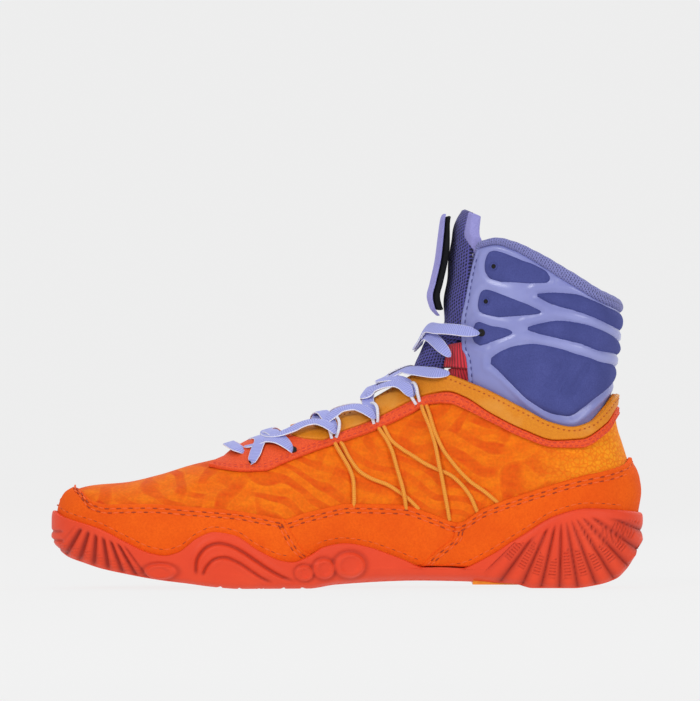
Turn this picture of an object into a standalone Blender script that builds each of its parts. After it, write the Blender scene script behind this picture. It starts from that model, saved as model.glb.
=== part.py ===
"""Wrestling shoe for the right foot, every piece laid on one shared last surface.

Metres, +Z up. The toe points to -X, the shoe's inner side faces -Y and the sole stands on z = 0.
A place on the last is given by a lap and a girth. The lap runs from 0 at the toe along the inner side
to 1 at the heel, and on along the outer side to 2. The girth runs from 0 at the feather edge to 1 at
the ridge over the foot.
"""
import math

import bmesh
import bpy
import numpy as np

# Driving sizes
SOLE_LENGTH = 0.292
BALL_WIDTH = 0.090
HEEL_WIDTH = 0.057
ANKLE_WIDTH = 0.068
INSTEP_HEIGHT = 0.105
COLLAR_HEIGHT = 0.173
RIM_HEIGHT = 0.0393
TOE_SPRING = 0.022
SOLE_THICKNESS = 0.0052
ARCH_RISE = 0.0035

# Walls and layers
CLEARANCE = 0.0003
LAYER_GAP = 0.0007
SHAFT_GAP = 0.0009
UPPER_WALL = 0.0016
GUARD_THICKNESS = 0.0012
GUARD_HIDDEN = 0.0030
TRIM_THICKNESS = 0.0010
TRIM_SEAM = 0.0008
TRIM_GAP = 0.0014
SOLE_WALL = 0.0024
SHAFT_WALL = 0.0030
PAD_THICKNESS = 0.0016
INSOLE_THICKNESS = 0.0030
TONGUE_THICKNESS = 0.0022
TONGUE_PAD = 0.0035
TONGUE_PAD_GAP = 0.0012
PAD_START = 0.83
PAD_END = 0.985
COVER_THICKNESS = 0.0013
COVER_GAP = 0.0015
COVER_LINING = 0.0035
CABLE_DIAMETER = 0.0020
LOOP_DIAMETER = 0.0018
LACE_WIDTH = 0.0062
LACE_THICKNESS = 0.0014

# Where the shaft's outer face and its pads lie, measured out from the last
SHAFT_SEAT = -UPPER_WALL - SHAFT_GAP
PAD_SEAT = SHAFT_SEAT + 0.0005

# The last's ends in plan
STACK = LAYER_GAP * 2 + GUARD_THICKNESS + SOLE_WALL
TOE_X = -SOLE_LENGTH / 2 + STACK
BACK_X = SOLE_LENGTH / 2 - STACK
TOE_ROUND = 0.044
HEEL_ROUND = 0.031
TOE_POWER = 2.2
TOE_LAP = 0.17
HEEL_LAP = 0.86
BELLY_HEIGHT = 0.014
FEATHER_TUCK = 0.07
FRONT_ROUND = 0.045
SOLVE_START = 0.05
SOLVE_STEPS = 4
SOLVE_FINE = 1e-7
BLEND_LOW = 0.060
BLEND_HIGH = 0.105
BLEND_FRONT = 0.035
BLEND_BACK = 0.065

# Sections of the last. along is a share of the sole's length, spine and ball of the ball width, heel of
# the heel width and ridge of the instep height.
LAST = [
    # along, spine, ball, heel, ridge, roundness
    (0.000, -0.136, 0.300, 0.000, 0.380, 2.6),
    (0.015, -0.130, 0.308, 0.000, 0.405, 2.6),
    (0.030, -0.125, 0.316, 0.000, 0.448, 2.6),
    (0.071, -0.108, 0.340, 0.000, 0.481, 2.5),
    (0.125, -0.082, 0.378, 0.000, 0.494, 2.4),
    (0.180, -0.066, 0.424, 0.000, 0.528, 2.3),
    (0.234, -0.048, 0.462, 0.000, 0.574, 2.2),
    (0.288, -0.026, 0.489, 0.000, 0.612, 2.1),
    (0.335, 0.000, 0.499, 0.000, 0.676, 2.0),
    (0.395, 0.030, 0.492, 0.000, 0.762, 2.0),
    (0.469, 0.062, 0.400, 0.060, 0.822, 2.0),
    (0.535, 0.082, 0.260, 0.170, 0.890, 2.0),
    (0.577, 0.083, 0.180, 0.260, 0.960, 2.0),
    (0.610, 0.080, 0.120, 0.330, 1.014, 2.0),
    (0.640, 0.074, 0.080, 0.400, 1.160, 2.0),
    (0.660, 0.068, 0.060, 0.430, 1.400, 2.0),
    (0.684, 0.060, 0.030, 0.460, 1.900, 2.0),
    (0.750, 0.039, 0.000, 0.500, 1.950, 2.0),
    (0.850, 0.011, 0.000, 0.500, 1.950, 2.0),
    (1.000, -0.008, 0.000, 0.500, 1.950, 2.0),
]

# The leg over the foot. up is a share of the collar height, half of the ankle width, front and back of
# the sole's length.
LEG = [
    # up, half, front, setback
    (0.000, 0.440, 0.600, 0.0000),
    (0.310, 0.440, 0.600, 0.0000),
    (0.363, 0.440, 0.604, 0.0090),
    (0.414, 0.445, 0.608, 0.0185),
    (0.461, 0.450, 0.612, 0.0270),
    (0.514, 0.458, 0.616, 0.0310),
    (0.557, 0.465, 0.620, 0.0280),
    (0.600, 0.472, 0.621, 0.0241),
    (0.660, 0.482, 0.625, 0.0188),
    (0.720, 0.495, 0.629, 0.0150),
    (0.810, 0.515, 0.637, 0.0120),
    (1.100, 0.560, 0.662, 0.0065),
]

# The sole's underside: drop of the toe spring and rise of the arch
UNDERSIDE = [
    # along, toe spring, arch
    (0.000, 1.000, 0.0),
    (0.017, 0.810, 0.0),
    (0.030, 0.695, 0.0),
    (0.058, 0.564, 0.0),
    (0.085, 0.450, 0.0),
    (0.125, 0.336, 0.0),
    (0.180, 0.205, 0.0),
    (0.234, 0.114, 0.0),
    (0.274, 0.045, 0.0),
    (0.320, 0.000, 0.0),
    (0.435, 0.000, 0.0),
    (0.480, 0.000, 0.5),
    (0.620, 0.000, 1.0),
    (0.780, 0.000, 0.6),
    (0.812, 0.000, 0.0),
    (0.880, 0.000, 0.0),
    (0.920, 0.068, 0.0),
    (0.953, 0.205, 0.0),
    (0.970, 0.400, 0.0),
    (0.985, 0.680, 0.0),
    (1.000, 1.080, 0.0),
]

# The sole wall's wavy rim and the mudguard's top edge, as shares of the rim height
RIM = [
    # along, up
    (0.000, 1.010),
    (0.012, 0.990),
    (0.030, 0.893),
    (0.085, 0.756),
    (0.132, 0.590),
    (0.174, 0.458),
    (0.195, 0.435),
    (0.217, 0.471),
    (0.251, 0.641),
    (0.275, 0.698),
    (0.308, 0.662),
    (0.350, 0.478),
    (0.389, 0.364),
    (0.406, 0.351),
    (0.423, 0.389),
    (0.459, 0.529),
    (0.490, 0.565),
    (0.532, 0.522),
    (0.583, 0.402),
    (0.635, 0.265),
    (0.660, 0.239),
    (0.688, 0.257),
    (0.737, 0.407),
    (0.791, 0.646),
    (0.852, 0.913),
    (0.903, 1.000),
    (0.960, 0.969),
    (1.000, 0.913),
]
GUARD_TOP = [
    # along, up
    (0.000, 1.300),
    (0.030, 1.240),
    (0.049, 1.213),
    (0.070, 1.085),
    (0.100, 1.033),
    (0.170, 1.038),
    (0.239, 1.008),
    (0.308, 0.969),
    (0.360, 0.906),
    (0.391, 0.866),
    (0.422, 0.931),
    (0.464, 1.007),
    (0.500, 1.057),
    (0.591, 1.041),
    (0.644, 0.925),
    (0.686, 0.823),
    (0.730, 1.003),
    (0.782, 1.145),
    (0.886, 1.388),
    (0.965, 1.541),
    (0.978, 1.710),
    (1.000, 1.750),
]

# The upper's top edge, beside the throat and round the ankle, and the trims under it, as shares of the
# instep height
EDGE = [
    # along, up
    (0.335, 0.676),
    (0.356, 0.699),
    (0.395, 0.739),
    (0.469, 0.789),
    (0.511, 0.824),
    (0.577, 0.926),
    (0.627, 1.000),
    (0.655, 1.004),
    (0.715, 0.952),
    (0.800, 0.836),
    (0.840, 0.779),
    (0.878, 0.755),
    (0.909, 0.779),
    (0.936, 0.848),
    (0.958, 0.913),
    (1.000, 0.930),
]
BAND = [
    # along, lower edge, upper edge
    (0.265, 0.565, 0.620),
    (0.291, 0.551, 0.640),
    (0.325, 0.542, 0.690),
    (0.360, 0.546, 0.700),
    (0.395, 0.584, 0.706),
    (0.428, 0.620, 0.689),
    (0.454, 0.647, 0.684),
    (0.489, 0.679, 0.722),
    (0.542, 0.730, 0.777),
    (0.606, 0.810, 0.866),
    (0.644, 0.860, 0.906),
    (0.671, 0.863, 0.918),
    (0.698, 0.838, 0.895),
    (0.743, 0.776, 0.817),
    (0.799, 0.701, 0.739),
    (0.850, 0.658, 0.692),
    (0.892, 0.656, 0.697),
    (0.933, 0.721, 0.768),
    (0.958, 0.817, 0.866),
    (1.000, 0.830, 0.880),
]
THROAT_START = EDGE[0][0]
OVERLAY_FRONT = 0.266
OVERLAY_BACK = 0.470
EYESTAY_FRONT = 0.402

# Shaft: its front edge and collar line, as shares of the sole's length and the collar height
SHAFT_FRONT = [
    # up, along
    (0.500, 0.700),
    (0.592, 0.698),
    (0.657, 0.694),
    (0.684, 0.687),
    (0.756, 0.6855),
    (0.825, 0.692),
    (0.879, 0.6975),
    (0.933, 0.705),
    (1.000, 0.719),
]
COLLAR = [
    # share of the way from the front edge to the heel, up
    (0.000, 0.966),
    (0.100, 0.976),
    (0.220, 0.961),
    (0.380, 0.9225),
    (0.560, 0.868),
    (0.760, 0.812),
    (1.000, 0.781),
]
SHAFT_TUCK = 0.011
COLLAR_ROLL_FRONT = 0.0017
COLLAR_ROLL_BACK = 0.0030

# Leaf pads in front on each side: place, size and tilt, in shares of sole length and collar height
LEAVES = [
    # name, along, up, length, height, tilt in degrees
    ("upper", 0.7260, 0.916, 0.0345, 0.0150, -10.0),
    ("middle", 0.7143, 0.812, 0.0340, 0.0138, -9.0),
    ("lower", 0.7043, 0.718, 0.0225, 0.0122, 2.0),
]
LEAF = [
    # share along, upper edge, lower edge
    (0.00, 0.10, -0.10),
    (0.04, 0.30, -0.30),
    (0.14, 0.47, -0.46),
    (0.35, 0.50, -0.50),
    (0.60, 0.45, -0.46),
    (0.85, 0.33, -0.32),
    (0.96, 0.18, -0.16),
    (1.00, 0.06, -0.06),
]
# Pads that wrap round the back: edges from the tip to the heel's centre line, up as share of the collar
WRAPS = [
    # name, along at the tip, rows of (share of the way to the centre line, lower edge, upper edge)
    ("upper_fin", 0.818, [(0.00, 0.827, 0.837), (0.13, 0.806, 0.840), (0.33, 0.787, 0.836),
                          (0.50, 0.767, 0.818), (0.71, 0.743, 0.795), (1.00, 0.730, 0.778)]),
    ("lower_fin", 0.802, [(0.00, 0.732, 0.742), (0.10, 0.720, 0.752), (0.26, 0.707, 0.760),
                          (0.45, 0.691, 0.752), (0.62, 0.671, 0.736), (0.83, 0.665, 0.712),
                          (1.00, 0.660, 0.695)]),
    ("heel_pad", 0.7385, [(0.00, 0.636, 0.654), (0.05, 0.620, 0.671), (0.16, 0.577, 0.689),
                          (0.28, 0.532, 0.695), (0.46, 0.491, 0.682), (0.54, 0.486, 0.668),
                          (0.65, 0.510, 0.655), (0.74, 0.536, 0.643), (0.88, 0.567, 0.635),
                          (1.00, 0.588, 0.625)]),
]

# Tongue: its ridge in side view, as shares of sole length and collar height, with its half width and
# how far its edges hang back from the ridge
TONGUE = [
    # along, up, half width, fall
    (0.285, 0.3570, 0.0160, 0.0070),
    (0.350, 0.4040, 0.0175, 0.0100),
    (0.420, 0.458, 0.0180, 0.0120),
    (0.500, 0.493, 0.0180, 0.0125),
    (0.560, 0.546, 0.0160, 0.0135),
    (0.605, 0.590, 0.0125, 0.0135),
    (0.617, 0.652, 0.0115, 0.0130),
    (0.629, 0.695, 0.0125, 0.0120),
    (0.645, 0.728, 0.0140, 0.0115),
    (0.6627, 0.757, 0.0170, 0.0105),
    (0.6635, 0.810, 0.0175, 0.0100),
    (0.671, 0.925, 0.0185, 0.0100),
    (0.6765, 1.010, 0.0190, 0.0085),
    (0.695, 1.082, 0.0140, 0.0045),
]

# Lace cover in front of the tongue: up as share of the collar height, along of the sole's length
COVER = [
    # up, along, half width
    (0.775, 0.6500, 0.0110),
    (0.798, 0.6390, 0.0150),
    (0.832, 0.6340, 0.0170),
    (0.867, 0.6387, 0.0175),
    (0.936, 0.6476, 0.0175),
    (1.006, 0.6530, 0.0165),
    (1.052, 0.6570, 0.0140),
    (1.066, 0.6603, 0.0110),
]
COVER_RADIUS = 0.080

# Cables that fan down the quarters, each strand from the trim band to the mudguard
CABLES = [
    # name, lifted over the strand it crosses, side-view points as (along, up of the instep height)
    ("1a", 0, [(0.480, 0.655), (0.495, 0.590), (0.506, 0.520), (0.509, 0.470), (0.5095, 0.412)]),
    ("1b", 0, [(0.491, 0.662), (0.505, 0.600), (0.541, 0.520), (0.587, 0.470), (0.618, 0.392)]),
    ("2a", 1, [(0.556, 0.730), (0.574, 0.645), (0.584, 0.560), (0.592, 0.480), (0.598, 0.402)]),
    ("2b", 0, [(0.566, 0.735), (0.592, 0.648), (0.637, 0.572), (0.673, 0.530), (0.705, 0.448),
               (0.715, 0.388)]),
    ("3a", 1, [(0.632, 0.825), (0.645, 0.735), (0.655, 0.640), (0.662, 0.540), (0.670, 0.345)]),
    ("3b", 0, [(0.640, 0.830), (0.652, 0.725), (0.664, 0.640), (0.686, 0.560), (0.712, 0.495),
               (0.745, 0.425)]),
]
CABLE_HOP = 0.0034

# White cord loops that hold the lace, side-view points round each loop
LOOPS = [
    # name, middle along, middle up of the instep height, half length, half height
    ("1", 0.4760, 0.748, 0.0036, 0.0042),
    ("2", 0.5490, 0.815, 0.0036, 0.0042),
    ("3", 0.6180, 0.905, 0.0036, 0.0042),
]

# Lace: where its crossings leave the throat's edges
LACE_STEPS = [
    # share of the way up the tongue, reach to each side of the ridge
    (0.125, 0.0085),
    (0.205, 0.0110),
    (0.310, 0.0115),
    (0.430, 0.0090),
    (0.545, 0.0070),
    (0.615, 0.0115),
    (0.685, 0.0115),
]
LACE_LIFT = 0.0070
LACE_FLOAT = 0.0010
LACE_REST = 0.30

# Sole: tread grooves across, arch plate, ribs
GROOVES = [0.285, 0.320, 0.355, 0.390, 0.425, 0.835, 0.862]
GROOVE_WIDTH = 0.0020
GROOVE_DEPTH = 0.0015
PLATE_FRONT = 0.709
PLATE_BACK = 0.803
PLATE_TOP = 0.0054
PLATE_BOTTOM = 0.0016
WAIST_RISE = 0.0015
BOTTOM_TUCK = 0.0045
WAIST_TUCK = 0.0085
RIB_DEPTH = 0.0011
FAN_ALONG = 0.860
FAN_UP = 0.0455
FAN_STEP = math.radians(11.35)
FAN_FIRST = math.radians(17.4)
FAN_FRONT = 0.735
TOE_RIB_PITCH = 0.0062
TOE_RIB_BACK = 0.150


def curve(table, column):
    """Returns a smooth function through one column of a table, with no overshoot between its rows."""
    x = np.array([row[0] for row in table], dtype=float)
    y = np.array([row[column] for row in table], dtype=float)
    step = np.diff(x)
    rise = np.diff(y) / step
    slope = np.zeros(len(x))
    slope[0] = rise[0]
    slope[-1] = rise[-1]
    for i in range(1, len(x) - 1):
        if rise[i - 1] * rise[i] > 0:
            slope[i] = 2 * rise[i - 1] * rise[i] / (rise[i - 1] + rise[i])

    def at(t):
        t = np.clip(np.asarray(t, dtype=float), x[0], x[-1])
        i = np.clip(np.searchsorted(x, t, side="right") - 1, 0, len(x) - 2)
        u = (t - x[i]) / step[i]
        low = (1 + 2 * u) * (1 - u) ** 2 * y[i] + u * (1 - u) ** 2 * step[i] * slope[i]
        high = u * u * (3 - 2 * u) * y[i + 1] - u * u * (1 - u) * step[i] * slope[i + 1]
        return low + high

    return at


spine_at = curve(LAST, 1)
ball_at = curve(LAST, 2)
heel_at = curve(LAST, 3)
ridge_at = curve(LAST, 4)
power_at = curve(LAST, 5)
leg_half_at = curve(LEG, 1)
leg_front_at = curve(LEG, 2)
setback_at = curve(LEG, 3)
spring_at = curve(UNDERSIDE, 1)
arch_at = curve(UNDERSIDE, 2)
rim_share_at = curve(RIM, 1)
guard_share_at = curve(GUARD_TOP, 1)
edge_share_at = curve(EDGE, 1)
band_low_at = curve(BAND, 1)
band_high_at = curve(BAND, 2)
shaft_front_at = curve(SHAFT_FRONT, 1)
collar_at = curve(COLLAR, 1)


def share(x):
    """Share of the sole's length at x, 0 at the toe's tip."""
    return x / SOLE_LENGTH + 0.5


def place(along):
    """The x of a share of the sole's length."""
    return (along - 0.5) * SOLE_LENGTH


def fade(t):
    """Smooth step from 0 to 1."""
    t = np.clip(t, 0.0, 1.0)
    return t * t * (3 - 2 * t)


def back_x(z):
    """The last's back line in side view."""
    return BACK_X - setback_at(z / COLLAR_HEIGHT) * SOLE_LENGTH


def reach(lap, z):
    """The x at a lap on one side and the share of the section's width left there by the round ends."""
    back = back_x(z)
    lap = np.asarray(lap, dtype=float)
    toe_turn = np.clip(lap / TOE_LAP, 0, 1) * math.pi / 2
    heel_turn = np.clip((lap - HEEL_LAP) / (1 - HEEL_LAP), 0, 1) * math.pi / 2
    middle = np.clip((lap - TOE_LAP) / (HEEL_LAP - TOE_LAP), 0, 1)
    toe_in = np.cos(toe_turn) ** (2 / TOE_POWER)
    straight = back - HEEL_ROUND - TOE_X - TOE_ROUND
    x = TOE_X + TOE_ROUND * (1 - toe_in) + straight * middle + HEEL_ROUND * np.sin(heel_turn)
    ends = np.clip(np.sin(toe_turn), 0, 1) ** (2 / TOE_POWER) * np.clip(np.cos(heel_turn), 0, 1)
    return x, ends


def lap_of(x, z):
    """The lap on one side of a side-view place, the inverse of reach."""
    back = back_x(z)
    x = np.clip(x, TOE_X, back)
    toe_in = np.clip(1 - (x - TOE_X) / TOE_ROUND, 0, 1)
    toe = TOE_LAP * np.arccos(toe_in ** (TOE_POWER / 2)) / (math.pi / 2)
    heel_in = np.clip((x - back + HEEL_ROUND) / HEEL_ROUND, 0, 1)
    heel = HEEL_LAP + (1 - HEEL_LAP) * np.arcsin(heel_in) / (math.pi / 2)
    straight = back - HEEL_ROUND - TOE_X - TOE_ROUND
    middle = TOE_LAP + (HEEL_LAP - TOE_LAP) * (x - TOE_X - TOE_ROUND) / straight
    return np.where(x < TOE_X + TOE_ROUND, toe, np.where(x > back - HEEL_ROUND, heel, middle))


def under_z(x):
    """Height of the sole's underside."""
    return spring_at(share(x)) * TOE_SPRING + arch_at(share(x)) * ARCH_RISE


def bed_z(x):
    """Height of the floor inside the sole's cup."""
    waist = fade((share(x) - 0.45) / 0.15) * fade((0.86 - share(x)) / 0.08)
    return under_z(x) + SOLE_THICKNESS + waist * WAIST_RISE


def feather_z(x):
    """Height of the upper's lower edge, just over the cup's floor."""
    return bed_z(x) + CLEARANCE


def belly_z(x):
    """Height at which the last is widest."""
    low = feather_z(x)
    ridge = ridge_at(share(x)) * INSTEP_HEIGHT
    return low + np.minimum(BELLY_HEIGHT, 0.35 * (ridge - low))


def spine_y(x):
    """The last's middle line in plan, curved to the inner side at the toe."""
    return spine_at(share(x)) * BALL_WIDTH


def half_width(x, z, ends):
    """Half width of the last at a side-view place: foot section below, leg section above."""
    s = share(x)
    low = feather_z(x)
    belly = belly_z(x)
    ridge = ridge_at(s) * INSTEP_HEIGHT
    power = power_at(s)
    rise = np.clip((z - belly) / (ridge - belly), 0, 1)
    top = (1 - rise ** power) ** (1 / power)
    down = np.clip((belly - z) / (belly - low), 0, 1)
    foot = (ball_at(s) * BALL_WIDTH + heel_at(s) * HEEL_WIDTH) * top * (1 - FEATHER_TUCK * down ** 2)
    up = z / COLLAR_HEIGHT
    front = place(leg_front_at(up))
    curl = np.clip((front + FRONT_ROUND - x) / FRONT_ROUND, 0, 1)
    leg = leg_half_at(up) * ANKLE_WIDTH * np.sqrt(1 - curl ** 2)
    blend = fade((z - BLEND_LOW) / (BLEND_HIGH - BLEND_LOW))
    blend = blend * fade((x - BLEND_FRONT) / (BLEND_BACK - BLEND_FRONT))
    return ends * (foot * (1 - blend) + leg * blend)


def height_at(x, girth):
    """Height on the last at a girth share: straight below the belly, then round over to the ridge."""
    low = feather_z(x)
    belly = belly_z(x)
    ridge = ridge_at(share(x)) * INSTEP_HEIGHT
    power = power_at(share(x))
    turn = np.clip((girth - 0.2) / 0.8, 0, 1) * math.pi / 2
    upper = belly + (ridge - belly) * np.sin(turn) ** (2 / power)
    return np.where(girth < 0.2, low + (belly - low) * girth / 0.2, upper)


def girth_of(x, z):
    """The girth share of a side-view place, the inverse of height_at."""
    low = feather_z(x)
    belly = belly_z(x)
    ridge = ridge_at(share(x)) * INSTEP_HEIGHT
    power = power_at(share(x))
    rise = np.clip((z - belly) / (ridge - belly), 0, 1)
    upper = 0.2 + 0.8 * np.arcsin(rise ** (power / 2)) / (math.pi / 2)
    return np.where(z < belly, 0.2 * (z - low) / (belly - low), upper)


def on_last(lap, girth):
    """Points on the last. A girth over 1 comes down the far side of the ridge."""
    lap, girth = np.broadcast_arrays(np.mod(lap, 2.0), np.asarray(girth, dtype=float))
    side = np.where(lap <= 1.0, -1.0, 1.0)
    side = np.where(girth > 1.0, -side, side)
    near = np.where(lap <= 1.0, lap, 2.0 - lap)
    girth = np.where(girth > 1.0, 2.0 - girth, girth)
    before = np.full(near.shape, SOLVE_START)
    missed = height_at(reach(near, before)[0], girth) - before
    z = before + missed
    for _ in range(SOLVE_STEPS):
        miss = height_at(reach(near, z)[0], girth) - z
        turned = np.where(np.abs(missed - miss) > SOLVE_FINE, missed - miss, 1.0)
        step = np.where(np.abs(missed - miss) > SOLVE_FINE, miss * (z - before) / turned, miss)
        before, missed = z, miss
        z = z + step
    x, ends = reach(near, z)
    y = spine_y(x) + side * half_width(x, z, ends)
    return np.stack([x, y, z], axis=-1)


def normals(lap, girth):
    """Outward unit normals of the last, from its slopes along and across."""
    lap, girth = np.broadcast_arrays(np.asarray(lap, dtype=float), np.asarray(girth, dtype=float))
    tip = (np.abs(np.mod(lap + 1, 2.0) - 1) < 0.004) & (girth > 0.985)
    lap = np.where(tip, lap + 0.008, lap)
    step = 0.003
    along = on_last(lap + step, girth) - on_last(lap - step, girth)
    across = on_last(lap, girth + step) - on_last(lap, girth - step)
    out = np.cross(along, across)
    out[..., 1] = np.where(tip, 0.0, out[..., 1])
    return out / np.linalg.norm(out, axis=-1, keepdims=True)


def skin(lap, girth, out):
    """Points at a distance out from the last."""
    return on_last(lap, girth) + normals(lap, girth) * np.asarray(out)[..., None]


def settle(lap, height):
    """x and z at a lap where the height is a function of x, given by a few rounds of substitution."""
    near = 1 - np.abs(1 - np.mod(lap, 2.0))
    z = np.full(np.shape(near), 0.05)
    for _ in range(4):
        x, _ends = reach(near, z)
        z = height(x)
    return x, z


def girth_at(lap, height):
    """Girth at a lap for a height given as a function of x."""
    x, z = settle(lap, height)
    return girth_of(x, z)


def edge_z(x):
    """The upper's top edge: the ridge itself in front of the throat."""
    ridge = ridge_at(share(x)) * INSTEP_HEIGHT
    edge = edge_share_at(share(x)) * INSTEP_HEIGHT
    return np.where(share(x) <= THROAT_START, ridge, np.minimum(ridge, edge))


def rim_z(x):
    """The sole wall's rim."""
    return rim_share_at(share(x)) * RIM_HEIGHT


def guard_z(x):
    """The mudguard's top edge, clear of the ridge only behind the toe's tip."""
    return guard_share_at(share(x)) * RIM_HEIGHT


def band_low_z(x):
    """The trim band's lower edge."""
    return band_low_at(share(x)) * INSTEP_HEIGHT


def band_high_z(x):
    """The trim band's upper edge."""
    return band_high_at(share(x)) * INSTEP_HEIGHT


def material(name, colour, roughness):
    """A plain Principled material."""
    made = bpy.data.materials.new(name)
    made.use_nodes = True
    shader = made.node_tree.nodes["Principled BSDF"]
    shader.inputs["Base Color"].default_value = (*colour, 1.0)
    shader.inputs["Roughness"].default_value = roughness
    made.diffuse_color = (*colour, 1.0)
    return made


def add_object(name, mesh, look, parent):
    """Links a mesh as a named object with its material, under the shoe's empty."""
    made = bpy.data.objects.new(name, mesh)
    mesh.materials.append(look)
    parent.users_collection[0].objects.link(made)
    made.parent = parent
    return made


def grid_mesh(name, points, closed=False):
    """A mesh from rows of points, each row a loop when closed, with points that meet welded."""
    rows, columns = points.shape[:2]
    work = bmesh.new()
    verts = [[work.verts.new(points[i, j]) for j in range(columns)] for i in range(rows)]
    for i in range(rows - 1):
        for j in range(columns if closed else columns - 1):
            k = (j + 1) % columns
            work.faces.new((verts[i][j], verts[i][k], verts[i + 1][k], verts[i + 1][j]))
    bmesh.ops.remove_doubles(work, verts=work.verts, dist=0.00002)
    bmesh.ops.dissolve_degenerate(work, edges=work.edges, dist=0.00002)
    mesh = bpy.data.meshes.new(name)
    work.to_mesh(mesh)
    work.free()
    return mesh


def shell(name, points, thickness, look, parent, closed=False):
    """An open surface from a grid, thickened outward, or inward when the thickness is negative."""
    made = add_object(name, grid_mesh(name, points, closed), look, parent)
    wall = made.modifiers.new("wall", "SOLIDIFY")
    wall.thickness = abs(thickness)
    wall.offset = math.copysign(1.0, thickness)
    made.data.shade_smooth()
    return made


def solid(name, rows, look, parent):
    """A closed body from loops of points whose first and last loops close on a middle line."""
    mesh = grid_mesh(name, rows, closed=True)
    work = bmesh.new()
    work.from_mesh(mesh)
    bmesh.ops.recalc_face_normals(work, faces=work.faces)
    if work.calc_volume(signed=True) < 0:
        bmesh.ops.reverse_faces(work, faces=work.faces)
    work.to_mesh(mesh)
    work.free()
    return add_object(name, mesh, look, parent)


def tube(name, points, diameter, look, parent):
    """A round cord through points."""
    path = bpy.data.curves.new(name, "CURVE")
    path.dimensions = "3D"
    path.bevel_depth = diameter / 2
    path.bevel_resolution = 0
    path.use_fill_caps = True
    spline = path.splines.new("POLY")
    spline.points.add(len(points) - 1)
    for knot, point in zip(spline.points, points):
        knot.co = (*point, 1.0)
    made = bpy.data.objects.new(name, path)
    path.materials.append(look)
    parent.users_collection[0].objects.link(made)
    made.parent = parent
    return made


def through(points, count):
    """Evenly spaced points of a smooth curve through the given ones."""
    points = np.asarray(points, dtype=float)
    steps = np.linalg.norm(np.diff(points, axis=0), axis=1)
    travelled = np.concatenate([[0], np.cumsum(steps)])
    travelled = travelled / travelled[-1]
    even = np.linspace(0, 1, count)
    columns = [curve(list(zip(travelled, points[:, k])), 1)(even) for k in range(points.shape[1])]
    return np.stack(columns, axis=-1)


def rib_relief(x, z):
    """How deep the sole wall's ribs cut: a fan at the heel and slanted ribs at the toe."""
    s = share(x)
    angle = np.arctan2(FAN_UP - z, x - place(FAN_ALONG))
    lobe = np.abs(np.cos(math.pi * (angle - FAN_FIRST) / FAN_STEP)) ** 0.7 - 1
    away = np.hypot(FAN_UP - z, x - place(FAN_ALONG))
    heel = RIB_DEPTH * lobe * fade((s - FAN_FRONT) / 0.02) * fade((away - 0.008) / 0.008)
    slant = x + 0.42 * z
    toe_lobe = np.abs(np.cos(math.pi * slant / TOE_RIB_PITCH)) ** 0.7 - 1
    below = fade((rim_z(x) - z - 0.003) / 0.003)
    toe = RIB_DEPTH * toe_lobe * fade((TOE_RIB_BACK - s) / 0.03) * fade((s - 0.035) / 0.03) * below
    return heel + toe


def tread_z(x):
    """Height of the sole's underside with its grooves and the recess for the arch plate."""
    z = under_z(x)
    for groove in GROOVES:
        cut = np.abs(x - place(groove)) < GROOVE_WIDTH / 2
        z = np.where(cut, z + GROOVE_DEPTH, z)
    recess = (x > place(PLATE_FRONT)) & (x < place(PLATE_BACK))
    return np.where(recess, PLATE_TOP + CLEARANCE, z)


def sole_laps():
    """Laps of the sole's columns: closer at the ribs, with pairs at each groove's edges."""
    toe = np.linspace(0.0, 0.30, 16)
    middle = np.linspace(0.30, 0.72, 12)[1:]
    heel = np.linspace(0.72, 1.0, 24)[1:]
    steps = [place(g) + side * GROOVE_WIDTH / 2 for g in GROOVES for side in (-1, 1)]
    steps = steps + [place(PLATE_FRONT), place(PLATE_BACK)]
    edge = 0.0001
    pairs = [float(lap_of(np.array(x + d), 0.01)) for x in steps for d in (-edge, edge)]
    plain = [t for t in np.concatenate([toe, middle, heel]) if min(abs(t - p) for p in pairs) > 0.004]
    return np.array(sorted(plain + pairs))


def build_outsole(look, parent):
    """Rubber cup: floor and inner wall, wavy rim, ribbed outer wall and treaded underside."""
    half = sole_laps()
    laps = np.concatenate([half, 2.0 - half[-2:0:-1]])
    inner = LAYER_GAP * 2 + GUARD_THICKNESS
    outer = inner + SOLE_WALL
    rim = girth_at(laps, rim_z)
    foot = skin(laps, np.zeros(len(laps)), inner)
    foot[:, 2] = bed_z(foot[:, 0])
    middle = np.stack([foot[:, 0], spine_y(foot[:, 0]), bed_z(foot[:, 0])], axis=-1)
    mate = (len(laps) - np.arange(len(laps))) % len(laps)
    middle = (middle + middle[mate]) / 2
    rows = [middle, foot, skin(laps, rim * 0.35, inner), skin(laps, rim * 0.7, inner),
            skin(laps, rim, inner)]
    for level, out in ((1.0, outer - 0.0007), (0.92, outer), (0.66, outer), (0.38, outer), (0.12, outer)):
        base = on_last(laps, rim * level)
        ribs = rib_relief(base[:, 0], base[:, 2]) if level < 1 else 0.0
        rows.append(skin(laps, rim * level, out + ribs))
    wall = skin(laps, np.zeros(len(laps)), outer)
    level_out = normals(laps, np.zeros(len(laps)))
    level_out[:, 2] = 0
    level_out = level_out / np.linalg.norm(level_out, axis=-1, keepdims=True)
    waist = fade((share(wall[:, 0]) - 0.42) / 0.12) * fade((0.80 - share(wall[:, 0])) / 0.1)
    tuck = BOTTOM_TUCK + (WAIST_TUCK - BOTTOM_TUCK) * waist * (laps < 1)
    low = wall - level_out * (tuck * 0.3)[:, None]
    low[:, 2] = under_z(low[:, 0]) * 0.55 + wall[:, 2] * 0.45
    bottom = wall - level_out * tuck[:, None]
    bottom[:, 2] = tread_z(bottom[:, 0])
    under = np.stack([bottom[:, 0], spine_y(bottom[:, 0]), bottom[:, 2]], axis=-1)
    under = (under + under[mate]) / 2
    under[:, 2] = tread_z(under[:, 0])
    rows = rows + [low, bottom, under]
    return solid("outsole", np.array(rows), look, parent)


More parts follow.
